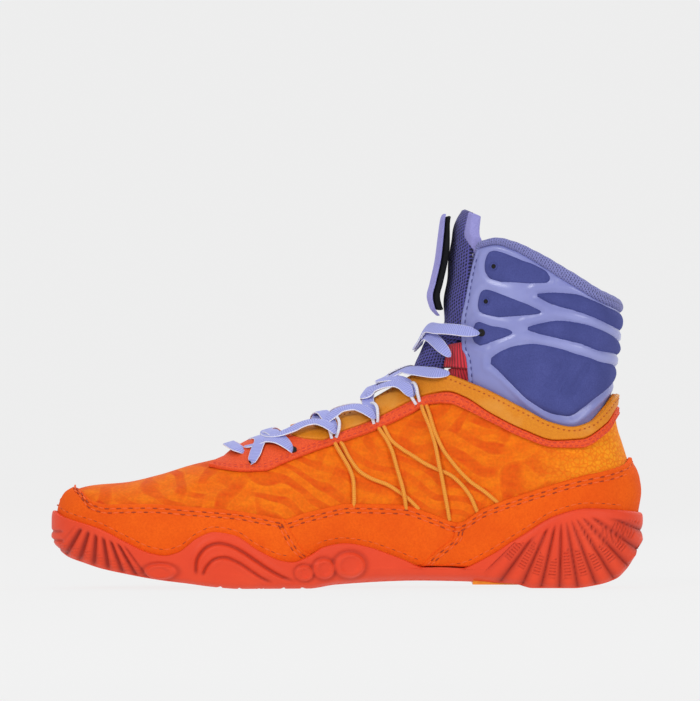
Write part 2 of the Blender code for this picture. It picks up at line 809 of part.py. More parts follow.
def build_arch_plate(look, parent):
    """Flat plate across the recess under the waist."""
    front = place(PLATE_FRONT) + CLEARANCE * 2
    back = place(PLATE_BACK) - CLEARANCE * 2
    xs = np.linspace(front, back, 9)
    inner_edge = []
    outer_edge = []
    for x in xs:
        lap = float(lap_of(np.array(x), 0.01))
        inner_edge.append(skin(np.array([lap]), np.array([0.0]), 0.0)[0][1] + 0.002)
        outer_edge.append(skin(np.array([2 - lap]), np.array([0.0]), 0.0)[0][1] - 0.002)
    work = bmesh.new()
    loop = [(x, y, PLATE_BOTTOM) for x, y in zip(xs, inner_edge)]
    loop = loop + [(x, y, PLATE_BOTTOM) for x, y in zip(xs[::-1], outer_edge[::-1])]
    face = work.faces.new([work.verts.new(p) for p in loop])
    lifted = bmesh.ops.extrude_face_region(work, geom=[face])
    top = [v for v in lifted["geom"] if isinstance(v, bmesh.types.BMVert)]
    bmesh.ops.translate(work, verts=top, vec=(0, 0, PLATE_TOP - PLATE_BOTTOM))
    bmesh.ops.recalc_face_normals(work, faces=work.faces)
    mesh = bpy.data.meshes.new("arch_plate")
    work.to_mesh(mesh)
    work.free()
    return add_object("arch_plate", mesh, look, parent)


def build_insole(look, parent):
    """Footbed between the upper's walls, on the cup's floor."""
    half = np.linspace(0, 1, 23)
    laps = np.concatenate([half, 2.0 - half[-2:0:-1]])
    edge = skin(laps, np.zeros(len(laps)), -UPPER_WALL - 0.0009)
    edge[:, 2] = bed_z(edge[:, 0]) + CLEARANCE
    top_edge = edge.copy()
    top_edge[:, 2] += INSOLE_THICKNESS
    mate = (len(laps) - np.arange(len(laps))) % len(laps)
    middle = np.stack([edge[:, 0], spine_y(edge[:, 0]), edge[:, 2]], axis=-1)
    middle = (middle + middle[mate]) / 2
    top_middle = middle.copy()
    top_middle[:, 2] += INSOLE_THICKNESS
    rows = [top_middle, (top_middle + top_edge) / 2, top_edge, edge, middle]
    return solid("insole", np.array(rows), look, parent)


def build_upper(look, parent):
    """The low-cut shell: one wall, open at throat, topline and underneath."""
    toe = np.linspace(0, 0.17, 10)
    flank = np.linspace(0.17, 0.80, 19)[1:]
    heel = np.linspace(0.80, 1, 9)[1:]
    half = np.concatenate([toe, flank, heel])
    laps = np.concatenate([half, 2.0 - half[-2:0:-1]])
    top = girth_at(laps, edge_z)
    rows = []
    for level in np.linspace(0, 1, 9):
        rows.append(skin(laps, top * level, 0.0 * laps))
    return shell("upper", np.array(rows), -UPPER_WALL, look, parent, closed=True)


def strip(name, laps, low, high, rows, out, thickness, look, parent, slants=(0.0, 0.0)):
    """An overlay between two heights, each a function of x, over a run of laps with slanted ends."""
    levels = np.linspace(0, 1, rows)
    run = np.linspace(-1, 1, len(laps))
    grid = []
    for level in levels:
        lean = np.where(run < 0, slants[0], slants[1]) * (1 - level) * np.abs(run) ** 3
        here = laps + lean
        bottom = girth_at(here, low)
        top = np.minimum(girth_at(here, high), 1.0)
        grid.append(skin(here, bottom + (top - bottom) * level, out + 0.0 * here))
    return shell(name, np.array(grid), thickness, look, parent)


def build_guards(look, parent):
    """Suede rand in four pieces round the foot, tucked behind the sole's rim."""
    toe_end = float(lap_of(np.array(place(0.391)), 0.034))
    toe_gap = CLEARANCE * 2 / SOLE_LENGTH
    heel_end = float(lap_of(np.array(place(0.684)), 0.033))
    lean = 0.052
    back_lean = 0.058

    def low(x):
        return np.maximum(rim_z(x) - GUARD_HIDDEN, feather_z(x) + CLEARANCE * 2)

    turn = np.linspace(-1, 1, 31)
    laps = toe_end * np.sign(turn) * np.abs(turn) ** 1.5
    made = [strip("mudguard_toe", laps, low, guard_z, 6, LAYER_GAP + CLEARANCE, GUARD_THICKNESS, look,
                  parent, (-lean, lean))]
    for side, name in ((0, "mudguard_mid_inner"), (1, "mudguard_mid_outer")):
        front = toe_end + toe_gap
        back = heel_end - toe_gap
        laps = np.linspace(front, back, 13)
        slants = (lean, -back_lean)
        if side:
            laps = 2.0 - laps[::-1]
            slants = (back_lean, -lean)
        made.append(strip(name, laps, low, guard_z, 4, LAYER_GAP, GUARD_THICKNESS, look, parent, slants))
    made.append(strip("mudguard_heel", np.linspace(heel_end, 2 - heel_end, 27), low, guard_z, 5, LAYER_GAP,
                      GUARD_THICKNESS, look, parent, (-back_lean, back_lean)))
    return made


def build_overlay(look, parent):
    """Vamp overlay that runs round the front of the throat, in one piece across the ridge."""
    front = float(lap_of(np.array(place(OVERLAY_FRONT)), 0.06))
    back = float(lap_of(np.array(place(OVERLAY_BACK)), 0.07))
    half = np.linspace(front, back, 13)

    def high(x):
        edge = edge_z(x) - CLEARANCE * (share(x) > THROAT_START)
        return np.where(share(x) < 0.385, edge, np.minimum(edge, band_high_z(x)))

    inner = []
    outer = []
    for level in np.linspace(0, 1, 4):
        for side, grid in ((0, inner), (1, outer)):
            laps = 2.0 - half if side else half
            bottom = girth_at(laps, band_low_z)
            top = np.minimum(girth_at(laps, high), 1.0)
            grid.append(skin(laps, bottom + (top - bottom) * level, TRIM_GAP + 0.0 * laps))
    rows = np.concatenate([np.array(inner), np.array(outer)[::-1]])
    mesh = bridge_mesh("throat_overlay", rows, len(inner))
    made = add_object("throat_overlay", mesh, look, parent)
    wall = made.modifiers.new("wall", "SOLIDIFY")
    wall.thickness = TRIM_THICKNESS
    wall.offset = 1.0
    return made


def bridge_mesh(name, rows, seam):
    """A mesh of two grids stacked at a seam, joined only where their seam points meet."""
    work = bmesh.new()
    verts = [[work.verts.new(p) for p in row] for row in rows]
    for i in range(len(rows) - 1):
        if i == seam - 1:
            continue
        for j in range(rows.shape[1] - 1):
            work.faces.new((verts[i][j], verts[i][j + 1], verts[i + 1][j + 1], verts[i + 1][j]))
    bmesh.ops.remove_doubles(work, verts=work.verts, dist=0.00002)
    mesh = bpy.data.meshes.new(name)
    work.to_mesh(mesh)
    work.free()
    return mesh


def trim_laps(front):
    """Laps of a trim from one side of the throat round the heel, shared so that trims lie edge to edge."""
    shared = np.linspace(0.40, 1.60, 45)
    inside = shared[(shared > front + 0.012) & (shared < 2 - front - 0.012)]
    return np.concatenate([[front], inside, [2 - front]])


def build_trims(band_look, stay_look, parent):
    """Trim band and eyestay, each one strip from one side of the throat round the heel to the other."""
    band_front = float(lap_of(np.array(place(OVERLAY_BACK) + CLEARANCE), 0.07))
    stay_front = float(lap_of(np.array(place(EYESTAY_FRONT)), 0.08))

    def stay_low(x):
        return band_high_z(x) + TRIM_SEAM

    def stay_high(x):
        return edge_z(x) - CLEARANCE

    band = strip("trim_band", trim_laps(band_front), band_low_z, band_high_z, 2,
                 TRIM_GAP, TRIM_THICKNESS, band_look, parent)
    stay = strip("eyestay", trim_laps(stay_front), stay_low, stay_high, 2,
                 TRIM_GAP, TRIM_THICKNESS, stay_look, parent)
    return [band, stay]


def shaft_point(run, level):
    """Lap, girth and height on the shaft: run from the inner front edge, 0, round to the outer one, 2."""
    run = np.asarray(run, dtype=float)
    near = 1 - np.abs(1 - run)
    top = collar_at(near) * COLLAR_HEIGHT
    low = near * 0.0
    z = np.full(run.shape, 0.12)
    for _ in range(4):
        front = lap_of(place(shaft_front_at(z / COLLAR_HEIGHT)), z)
        lap = front + (1 - front) * near
        x, _ends = reach(lap, z)
        low = edge_share_at(share(x)) * INSTEP_HEIGHT - SHAFT_TUCK
        z = low + (top - low) * level
    lap = np.where(run > 1, 2 - lap, lap)
    return lap, girth_of(x, z), z


def leg_skin(lap, z, out):
    """Points off the last at a lap and height."""
    near = 1 - np.abs(1 - np.mod(lap, 2.0))
    x, _ends = reach(near, z)
    return skin(lap, girth_of(x, z), out)


def build_shaft(look, rim_look, parent):
    """Moulded ankle shaft, open in front, with a padded roll along its collar."""
    runs = np.linspace(0, 2, 33)
    out = SHAFT_SEAT
    rows = []
    for level in np.linspace(0, 1, 6):
        lap, girth, _z = shaft_point(runs, level)
        rows.append(skin(lap, girth, out + 0.0 * runs))
    shaft = shell("shaft", np.array(rows), -SHAFT_WALL, look, parent)
    runs = np.linspace(0.02, 1.98, 27)
    lap, girth, _z = shaft_point(runs, 1.0)
    path = skin(lap, girth, out - SHAFT_WALL / 2 + 0.0 * runs)
    radius = COLLAR_ROLL_FRONT + (COLLAR_ROLL_BACK - COLLAR_ROLL_FRONT) * fade((1 - np.abs(1 - runs)) / 0.6)
    path[:, 2] += radius + CLEARANCE * 2
    along = np.gradient(path, axis=0)
    along = along / np.linalg.norm(along, axis=-1, keepdims=True)
    aside = np.cross(along, (0, 0, 1))
    aside = aside / np.linalg.norm(aside, axis=-1, keepdims=True)
    lift = np.cross(aside, along)
    rings = []
    for turn in np.linspace(0, 2 * math.pi, 6, endpoint=False):
        rings.append(path + (aside * math.cos(turn) + lift * math.sin(turn)) * radius[:, None])
    return [shaft, swept("collar_roll", np.array(rings), rim_look, parent)]


def swept(name, rings, look, parent):
    """A closed body from parallel strands of points round a path, capped at both ends."""
    strands, count = rings.shape[:2]
    work = bmesh.new()
    verts = [[work.verts.new(rings[i, j]) for j in range(count)] for i in range(strands)]
    for i in range(strands):
        k = (i + 1) % strands
        for j in range(count - 1):
            work.faces.new((verts[i][j], verts[i][j + 1], verts[k][j + 1], verts[k][j]))
    work.faces.new([verts[i][0] for i in range(strands)])
    work.faces.new([verts[i][-1] for i in range(strands)][::-1])
    bmesh.ops.recalc_face_normals(work, faces=work.faces)
    if work.calc_volume(signed=True) < 0:
        bmesh.ops.reverse_faces(work, faces=work.faces)
    mesh = bpy.data.meshes.new(name)
    work.to_mesh(mesh)
    work.free()
    return add_object(name, mesh, look, parent)


def build_leaves(look, parent):
    """Leaf pads on the shaft's front, three on each side."""
    made = []
    upper_edge = curve(LEAF, 1)
    lower_edge = curve(LEAF, 2)
    for name, along, up, length, height, tilt in LEAVES:
        t = np.linspace(0, 1, 8)
        for side in ("inner", "outer"):
            rows = []
            for level in np.linspace(0, 1, 3):
                across = lower_edge(t) + (upper_edge(t) - lower_edge(t)) * level
                angle = math.radians(tilt)
                x = place(along) + t * length * math.cos(angle) - across * height * math.sin(angle)
                z = up * COLLAR_HEIGHT + t * length * math.sin(angle) + across * height * math.cos(angle)
                lap = lap_of(x, z)
                if side == "outer":
                    lap = 2 - lap
                rows.append(leg_skin(lap, z, PAD_SEAT + 0.0 * x))
            grid = np.array(rows)
            if side == "outer":
                grid = grid[:, ::-1]
            made.append(shell(f"pad_{name}_{side}", grid, PAD_THICKNESS, look, parent))
    return made


def build_wraps(look, parent):
    """Pads that wrap round the back of the shaft."""
    made = []
    for name, tip, table in WRAPS:
        lower = curve(table, 1)
        upper = curve(table, 2)
        run = np.linspace(0, 2, 25)
        near = 1 - np.abs(1 - run)
        middle = (float(lower(0.0)) + float(upper(0.0))) / 2 * COLLAR_HEIGHT
        start = float(lap_of(np.array(place(tip)), middle))
        lap = start + (1 - start) * near
        lap = np.where(run > 1, 2 - lap, lap)
        rows = []
        for level in np.linspace(0, 1, 3):
            z = (lower(near) + (upper(near) - lower(near)) * level) * COLLAR_HEIGHT
            rows.append(leg_skin(lap, z, PAD_SEAT + 0.0 * z))
        made.append(shell(name, np.array(rows), PAD_THICKNESS, look, parent))
    return made


def tongue_frame(run):
    """Ridge point, outward normal, half width and fall of the tongue at shares of the way up it."""
    ridge = [(place(row[0]), row[1] * COLLAR_HEIGHT) for row in TONGUE]
    steps = [math.dist(ridge[i], ridge[i + 1]) for i in range(len(ridge) - 1)]
    travelled = np.concatenate([[0], np.cumsum(steps)]) / sum(steps)
    table = [(t, p[0], p[1], row[2], row[3]) for t, p, row in zip(travelled, ridge, TONGUE)]
    x, z, half, fall = (curve(table, k)(run) for k in (1, 2, 3, 4))
    step = 0.01
    dx = curve(table, 1)(run + step) - curve(table, 1)(run - step)
    dz = curve(table, 2)(run + step) - curve(table, 2)(run - step)
    size = np.hypot(dx, dz)
    return x, z, -dz / size, dx / size, half, fall


def on_tongue(run, across, out):
    """Points over the tongue: across in metres from the ridge, out from its outer face."""
    x, z, nx, nz, half, fall = tongue_frame(run)
    drop = fall * np.abs(across / half) ** 2.0
    px = x + nx * (out - drop)
    pz = z + nz * (out - drop)
    return np.stack([px, spine_y(x) * fade((place(0.70) - x) / 0.05 + 0.5) + across, pz], axis=-1)


def build_tongue(look, pad_look, parent):
    """Padded tongue under the lace and a soft pad behind its top."""
    runs = np.linspace(0, 1, 20)
    rows = []
    for across in np.linspace(-1, 1, 7):
        half = tongue_frame(runs)[4]
        rows.append(on_tongue(runs, across * half, 0.0 * runs))
    tongue = shell("tongue", np.array(rows), -TONGUE_THICKNESS, look, parent)
    runs = np.linspace(PAD_START, PAD_END, 7)
    rows = []
    for across in np.linspace(-1, 1, 7):
        half = tongue_frame(runs)[4] * 0.70
        rows.append(on_tongue(runs, across * half, -TONGUE_THICKNESS - TONGUE_PAD_GAP + 0.0 * runs))
    pad = shell("tongue_pad", np.array(rows), -TONGUE_PAD, pad_look, parent)
    return [tongue, pad]


def build_cover(look, lining_look, parent):
    """Lace cover: a curved flap in front of the tongue, with its lining behind."""
    made = []
    kinds = (("lace_cover", 0.0, COVER_THICKNESS, 1.0, 0.0, look),
             ("lace_cover_lining", COVER_THICKNESS + COVER_GAP, COVER_LINING, 0.90, 0.016, lining_look))
    for name, back, thickness, shrink, trimmed, tint in kinds:
        up = np.linspace(COVER[0][0] + trimmed, COVER[-1][0] - trimmed * 0.4, 8)
        along = curve(COVER, 1)(up)
        half = curve(COVER, 2)(up)
        rows = []
        for across in np.linspace(-1, 1, 7):
            y = across * half * shrink
            slope = y / COVER_RADIUS
            size = np.sqrt(1 + slope ** 2)
            x = place(along) + y ** 2 / (2 * COVER_RADIUS) + back / size
            y = y - back * slope / size + spine_y(place(0.66)) * 0.5
            rows.append(np.stack([x, y, up * COLLAR_HEIGHT], axis=-1))
        made.append(shell(name, np.array(rows), -thickness, tint, parent))
    return made


def build_cables(look, parent):
    """Thin cables that fan down both quarters."""
    made = []
    for side in ("inner", "outer"):
        for name, lifted, marks in CABLES:
            marks = through(marks, 8)
            x = place(marks[:, 0])
            z = marks[:, 1] * INSTEP_HEIGHT
            lap = lap_of(x, z)
            if side == "outer":
                lap = 2 - lap
            t = np.linspace(0, 1, len(x))
            hop = lifted * CABLE_HOP * np.abs(np.sin(math.pi * t ** 3.2)) ** 0.5
            out = LAYER_GAP + CABLE_DIAMETER / 2 + hop
            points = skin(lap, girth_of(x, z), out)
            made.append(tube(f"cable_{name}_{side}", points, CABLE_DIAMETER, look, parent))
    return made


def build_loops(look, parent):
    """White cord loops at the throat's edges, each a ring of cord lying on the eyestay."""
    made = []
    for side in ("inner", "outer"):
        for name, along, up, half_length, half_height in LOOPS:
            turn = np.linspace(0.12, 0.88, 8) * 2 * math.pi - math.pi / 2
            x = place(along) + half_length * np.cos(turn)
            z = up * INSTEP_HEIGHT + half_height * np.sin(turn)
            lap = lap_of(x, z)
            if side == "outer":
                lap = 2 - lap
            rest = LAYER_GAP + TRIM_GAP + TRIM_THICKNESS + LOOP_DIAMETER / 2
            points = skin(lap, girth_of(x, z), rest + 0.0 * x)
            made.append(tube(f"cord_loop_{name}_{side}", points, LOOP_DIAMETER, look, parent))
    return made


def ribbon(name, path, normal, look, parent):
    """A flat lace along a path, its flat face along the normal."""
    along = np.gradient(path, axis=0)
    along = along / np.linalg.norm(along, axis=-1, keepdims=True)
    aside = np.cross(normal, along)
    aside = aside / np.linalg.norm(aside, axis=-1, keepdims=True)
    w = LACE_WIDTH / 2
    h = LACE_THICKNESS / 2
    rings = [path + aside * a + normal * b for a, b in ((-w, -h), (w, -h), (w, h), (-w, h))]
    return swept(name, np.array(rings), look, parent)


def lace_strand(name, start, end, side, lift, look, parent):
    """One flat run of lace that climbs from an edge of the tongue to the other."""
    t = np.linspace(0, 1, 6)
    run = start[0] + (end[0] - start[0]) * t
    reach_here = start[1] + (end[1] - start[1]) * t
    across = side * reach_here * (1 - 2 * t)
    out = LACE_FLOAT + lift + (LACE_LIFT - LACE_FLOAT) * fade(np.abs(1 - 2 * t) * 1.1)
    points = on_tongue(run, across, out)
    facing = on_tongue(run, across * 0.9, out + 0.002) - points
    facing = facing / np.linalg.norm(facing, axis=-1, keepdims=True)
    return ribbon(name, points, facing, look, parent)


def build_lace(look, parent):
    """The lace's crossings over the tongue, each two runs joined into one body."""
    made = []
    for i in range(len(LACE_STEPS) - 1):
        low, high = np.array(LACE_STEPS[i]), np.array(LACE_STEPS[i + 1])
        start = low + (high - low) * LACE_REST
        end = high - (high - low) * LACE_REST
        first = lace_strand(f"lace_crossing_{i + 1}", start, end, -1, 0.0, look, parent)
        second = lace_strand(f"lace_under_{i + 1}", start, end, 1, LACE_THICKNESS * 0.4, look, parent)
        join = first.modifiers.new("join", "BOOLEAN")
        join.operation = "UNION"
        join.object = second
        second.hide_render = True
        second.display_type = "WIRE"
        made.append(first)
    return made


def main():
    """Clears the file's objects and builds the shoe."""
    for old in list(bpy.data.objects):
        bpy.data.objects.remove(old, do_unlink=True)
    group = bpy.data.collections.new("wrestling_shoe")
    bpy.context.scene.collection.children.link(group)
    root = bpy.data.objects.new("shoe", None)
    group.objects.link(root)
    rubber = material("sole_rubber", (0.76, 0.07, 0.03), 0.5)
    plate = material("plate_yellow", (0.82, 0.35, 0.03), 0.45)
    lining = material("footbed", (0.30, 0.30, 0.55), 0.9)
    textile = material("upper_textile", (0.91, 0.22, 0.01), 0.8)
    suede = material("guard_suede", (0.87, 0.13, 0.02), 0.85)
    trim = material("trim_red_orange", (0.83, 0.10, 0.04), 0.7)
    stay = material("eyestay_yellow", (0.80, 0.32, 0.02), 0.6)
    lilac = material("shaft_lilac", (0.26, 0.27, 0.55), 0.45)
    violet = material("pad_violet", (0.07, 0.08, 0.31), 0.9)
    black = material("cover_lining_black", (0.01, 0.01, 0.015), 0.8)
    cable = material("cable_yellow", (0.86, 0.36, 0.04), 0.5)
    white = material("cord_white", (0.80, 0.80, 0.82), 0.7)
    lace = material("lace_lilac", (0.38, 0.41, 0.77), 0.8)
    build_outsole(rubber, root)
    build_arch_plate(plate, root)
    build_insole(lining, root)
    build_upper(textile, root)
    build_guards(suede, root)
    build_overlay(trim, root)
    build_trims(trim, stay, root)
    build_shaft(lilac, violet, root)
    build_leaves(violet, root)
    build_wraps(violet, root)
    build_tongue(violet, lilac, root)
    build_cover(lilac, black, root)
    build_cables(cable, root)
    build_loops(white, root)
    build_lace(lace, root)


main()
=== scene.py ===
"""Wrestling shoe for the right foot: soft goods, cords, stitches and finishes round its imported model.

Metres, +Z up. The toe points to -X, the shoe's inner side faces -Y and the sole stands on z = 0.
A place on the last is given by a lap and a girth. The lap runs from 0 at the toe along the inner side
to 1 at the heel, and on along the outer side to 2. The girth runs from 0 at the feather edge to 1 at
the ridge over the foot. Places read off the side view are in its picture's pixels.
"""
import math

import bmesh
import bpy
import numpy as np
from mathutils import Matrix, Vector


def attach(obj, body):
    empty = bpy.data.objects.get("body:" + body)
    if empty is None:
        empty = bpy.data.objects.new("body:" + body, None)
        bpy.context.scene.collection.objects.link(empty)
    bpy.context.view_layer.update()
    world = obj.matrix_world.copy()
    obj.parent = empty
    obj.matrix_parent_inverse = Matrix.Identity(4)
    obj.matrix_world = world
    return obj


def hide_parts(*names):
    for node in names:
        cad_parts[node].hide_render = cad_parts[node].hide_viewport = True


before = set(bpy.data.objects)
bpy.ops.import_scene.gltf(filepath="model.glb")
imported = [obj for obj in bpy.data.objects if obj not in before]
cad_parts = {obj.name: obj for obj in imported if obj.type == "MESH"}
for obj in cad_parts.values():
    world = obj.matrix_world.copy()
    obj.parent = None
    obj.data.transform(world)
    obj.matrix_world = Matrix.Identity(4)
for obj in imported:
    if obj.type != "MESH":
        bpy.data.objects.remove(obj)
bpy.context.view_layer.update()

# Driving sizes
SOLE_LENGTH = 0.292
BALL_WIDTH = 0.090
HEEL_WIDTH = 0.057
ANKLE_WIDTH = 0.068
INSTEP_HEIGHT = 0.105
COLLAR_HEIGHT = 0.173
RIM_HEIGHT = 0.0393
TOE_SPRING = 0.022
SOLE_THICKNESS = 0.0052
ARCH_RISE = 0.0035
BELLY_GIRTH = 0.2

# Walls and layers
CLEARANCE = 0.0003
LAYER_GAP = 0.0007
SHAFT_GAP = 0.0009
UPPER_WALL = 0.0016
GUARD_THICKNESS = 0.0012
GUARD_HIDDEN = 0.0030
TRIM_THICKNESS = 0.0010
TRIM_SEAM = 0.0008
TRIM_GAP = 0.0014
SOLE_WALL = 0.0024
SHAFT_WALL = 0.0030
INSOLE_THICKNESS = 0.0030
TONGUE_THICKNESS = 0.0022
TONGUE_PAD = 0.0035
PAD_START = 0.83
COVER_THICKNESS = 0.0013
COVER_GAP = 0.0015
COVER_BACK_THICKNESS = 0.0035
CABLE_DIAMETER = 0.0020
LOOP_DIAMETER = 0.0018
LACE_WIDTH = 0.0062
LACE_THICKNESS = 0.0014

# Where the shaft's outer face lies, measured out from the last
SHAFT_SEAT = -UPPER_WALL - SHAFT_GAP

# The last's ends in plan
STACK = LAYER_GAP * 2 + GUARD_THICKNESS + SOLE_WALL
TOE_X = -SOLE_LENGTH / 2 + STACK
BACK_X = SOLE_LENGTH / 2 - STACK
TOE_ROUND = 0.044
HEEL_ROUND = 0.031
TOE_POWER = 2.2
TOE_LAP = 0.17
HEEL_LAP = 0.86
BELLY_HEIGHT = 0.014
FEATHER_TUCK = 0.07
FRONT_ROUND = 0.045
SOLVE_START = 0.05
SOLVE_STEPS = 4
SOLVE_FINE = 1e-7
BLEND_LOW = 0.060
BLEND_HIGH = 0.105
BLEND_FRONT = 0.035
BLEND_BACK = 0.065

# Sections of the last. along is a share of the sole's length, spine and ball of the ball width, heel of
# the heel width and ridge of the instep height.
LAST = [
    # along, spine, ball, heel, ridge, roundness
    (0.000, -0.136, 0.300, 0.000, 0.380, 2.6),
    (0.015, -0.130, 0.308, 0.000, 0.405, 2.6),
    (0.030, -0.125, 0.316, 0.000, 0.448, 2.6),
    (0.071, -0.108, 0.340, 0.000, 0.481, 2.5),
    (0.125, -0.082, 0.378, 0.000, 0.494, 2.4),
    (0.180, -0.066, 0.424, 0.000, 0.528, 2.3),
    (0.234, -0.048, 0.462, 0.000, 0.574, 2.2),
    (0.288, -0.026, 0.489, 0.000, 0.612, 2.1),
    (0.335, 0.000, 0.499, 0.000, 0.676, 2.0),
    (0.395, 0.030, 0.492, 0.000, 0.762, 2.0),
    (0.469, 0.062, 0.400, 0.060, 0.822, 2.0),
    (0.535, 0.082, 0.260, 0.170, 0.890, 2.0),
    (0.577, 0.083, 0.180, 0.260, 0.960, 2.0),
    (0.610, 0.080, 0.120, 0.330, 1.014, 2.0),
    (0.640, 0.074, 0.080, 0.400, 1.160, 2.0),
    (0.660, 0.068, 0.060, 0.430, 1.400, 2.0),
    (0.684, 0.060, 0.030, 0.460, 1.900, 2.0),
    (0.750, 0.039, 0.000, 0.500, 1.950, 2.0),
    (0.850, 0.011, 0.000, 0.500, 1.950, 2.0),
    (1.000, -0.008, 0.000, 0.500, 1.950, 2.0),
]

# The leg over the foot. up is a share of the collar height, half of the ankle width, front and back of
# the sole's length.
LEG = [
    # up, half, front, setback
    (0.000, 0.440, 0.600, 0.0000),
    (0.310, 0.440, 0.600, 0.0000),
    (0.363, 0.440, 0.604, 0.0090),
    (0.414, 0.445, 0.608, 0.0185),
    (0.461, 0.450, 0.612, 0.0270),
    (0.514, 0.458, 0.616, 0.0310),
    (0.557, 0.465, 0.620, 0.0280),
    (0.600, 0.472, 0.621, 0.0241),
    (0.660, 0.482, 0.625, 0.0188),
    (0.720, 0.495, 0.629, 0.0150),
    (0.810, 0.515, 0.637, 0.0120),
    (1.100, 0.560, 0.662, 0.0065),
]

# The sole's underside: drop of the toe spring and rise of the arch
UNDERSIDE = [
    # along, toe spring, arch
    (0.000, 1.000, 0.0),
    (0.017, 0.810, 0.0),
    (0.030, 0.695, 0.0),
    (0.058, 0.564, 0.0),
    (0.085, 0.450, 0.0),
    (0.125, 0.336, 0.0),
    (0.180, 0.205, 0.0),
    (0.234, 0.114, 0.0),
    (0.274, 0.045, 0.0),
    (0.320, 0.000, 0.0),
    (0.435, 0.000, 0.0),
    (0.480, 0.000, 0.5),
    (0.620, 0.000, 1.0),
    (0.780, 0.000, 0.6),
    (0.812, 0.000, 0.0),
    (0.880, 0.000, 0.0),
    (0.920, 0.068, 0.0),
    (0.953, 0.205, 0.0),
    (0.970, 0.400, 0.0),
    (0.985, 0.680, 0.0),
    (1.000, 1.080, 0.0),
]

# The sole wall's wavy rim and the mudguard's top edge, as shares of the rim height
RIM = [
    # along, up
    (0.000, 1.010),
    (0.012, 0.990),
    (0.030, 0.893),
    (0.085, 0.756),
    (0.132, 0.590),
    (0.174, 0.458),
    (0.195, 0.435),
    (0.217, 0.471),
    (0.251, 0.641),
    (0.275, 0.698),
    (0.308, 0.662),
    (0.350, 0.478),
    (0.389, 0.364),
    (0.406, 0.351),
    (0.423, 0.389),
    (0.459, 0.529),
    (0.490, 0.565),
    (0.532, 0.522),
    (0.583, 0.402),
    (0.635, 0.265),
    (0.660, 0.239),
    (0.688, 0.257),
    (0.737, 0.407),
    (0.791, 0.646),
    (0.852, 0.913),
    (0.903, 1.000),
    (0.960, 0.969),
    (1.000, 0.913),
]
GUARD_TOP = [
    # along, up
    (0.000, 1.300),
    (0.030, 1.240),
    (0.049, 1.213),
    (0.070, 1.085),
    (0.100, 1.033),
    (0.170, 1.038),
    (0.239, 1.008),
    (0.308, 0.969),
    (0.360, 0.906),
    (0.391, 0.866),
    (0.422, 0.931),
    (0.464, 1.007),
    (0.500, 1.057),
    (0.591, 1.041),
    (0.644, 0.925),
    (0.686, 0.823),
    (0.730, 1.003),
    (0.782, 1.145),
    (0.886, 1.388),
    (0.965, 1.541),
    (0.978, 1.710),
    (1.000, 1.750),
]

# The upper's top edge, beside the throat and round the ankle, and the trims under it, as shares of the
# instep height
EDGE = [
    # along, up
    (0.335, 0.676),
    (0.356, 0.699),
    (0.395, 0.739),
    (0.469, 0.789),
    (0.511, 0.824),
    (0.577, 0.926),
    (0.627, 1.000),
    (0.655, 1.004),
    (0.715, 0.952),
    (0.800, 0.836),
    (0.840, 0.779),
    (0.878, 0.755),
    (0.909, 0.779),
    (0.936, 0.848),
    (0.958, 0.913),
    (1.000, 0.930),
]
BAND = [
    # along, lower edge, upper edge
    (0.265, 0.565, 0.620),
    (0.291, 0.551, 0.640),
    (0.325, 0.542, 0.690),
    (0.360, 0.546, 0.700),
    (0.395, 0.584, 0.706),
    (0.428, 0.620, 0.689),
    (0.454, 0.647, 0.684),
    (0.489, 0.679, 0.722),
    (0.542, 0.730, 0.777),
    (0.606, 0.810, 0.866),
    (0.644, 0.860, 0.906),
    (0.671, 0.863, 0.918),
    (0.698, 0.838, 0.895),
    (0.743, 0.776, 0.817),
    (0.799, 0.701, 0.739),
    (0.850, 0.658, 0.692),
    (0.892, 0.656, 0.697),
    (0.933, 0.721, 0.768),
    (0.958, 0.817, 0.866),
    (1.000, 0.830, 0.880),
]
THROAT_START = EDGE[0][0]
OVERLAY_FRONT = 0.266
OVERLAY_BACK = 0.470
EYESTAY_FRONT = 0.402

# Shaft: its front edge and collar line, as shares of the sole's length and the collar height
SHAFT_FRONT = [
    # up, along
    (0.500, 0.700),
    (0.592, 0.698),
    (0.657, 0.694),
    (0.684, 0.687),
    (0.756, 0.6855),
    (0.825, 0.692),
    (0.879, 0.6975),
    (0.933, 0.705),
    (1.000, 0.719),
]
COLLAR = [
    # share of the way from the front edge to the heel, up
    (0.000, 0.966),
    (0.100, 0.976),
    (0.220, 0.961),
    (0.380, 0.9225),
    (0.560, 0.868),
    (0.760, 0.812),
    (1.000, 0.781),
]
SHAFT_TUCK = 0.011
COLLAR_ROLL_FRONT = 0.0017
COLLAR_ROLL_BACK = 0.0030

# Pads that wrap round the back: edges from the tip to the heel's centre line, up as share of the collar
WRAPS = [
    # name, along at the tip, rows of (share of the way to the centre line, lower edge, upper edge)
    ("upper_fin", 0.818, [(0.00, 0.827, 0.837), (0.13, 0.806, 0.840), (0.33, 0.787, 0.836),
                          (0.50, 0.767, 0.818), (0.71, 0.743, 0.795), (1.00, 0.730, 0.778)]),
    ("lower_fin", 0.802, [(0.00, 0.732, 0.742), (0.10, 0.720, 0.752), (0.26, 0.707, 0.760),
                          (0.45, 0.691, 0.752), (0.62, 0.671, 0.736), (0.83, 0.665, 0.712),
                          (1.00, 0.660, 0.695)]),
    ("heel_pad", 0.7385, [(0.00, 0.636, 0.654), (0.05, 0.620, 0.671), (0.16, 0.577, 0.689),
                          (0.28, 0.532, 0.695), (0.46, 0.491, 0.682), (0.54, 0.486, 0.668),
                          (0.65, 0.510, 0.655), (0.74, 0.536, 0.643), (0.88, 0.567, 0.635),
                          (1.00, 0.588, 0.625)]),
]

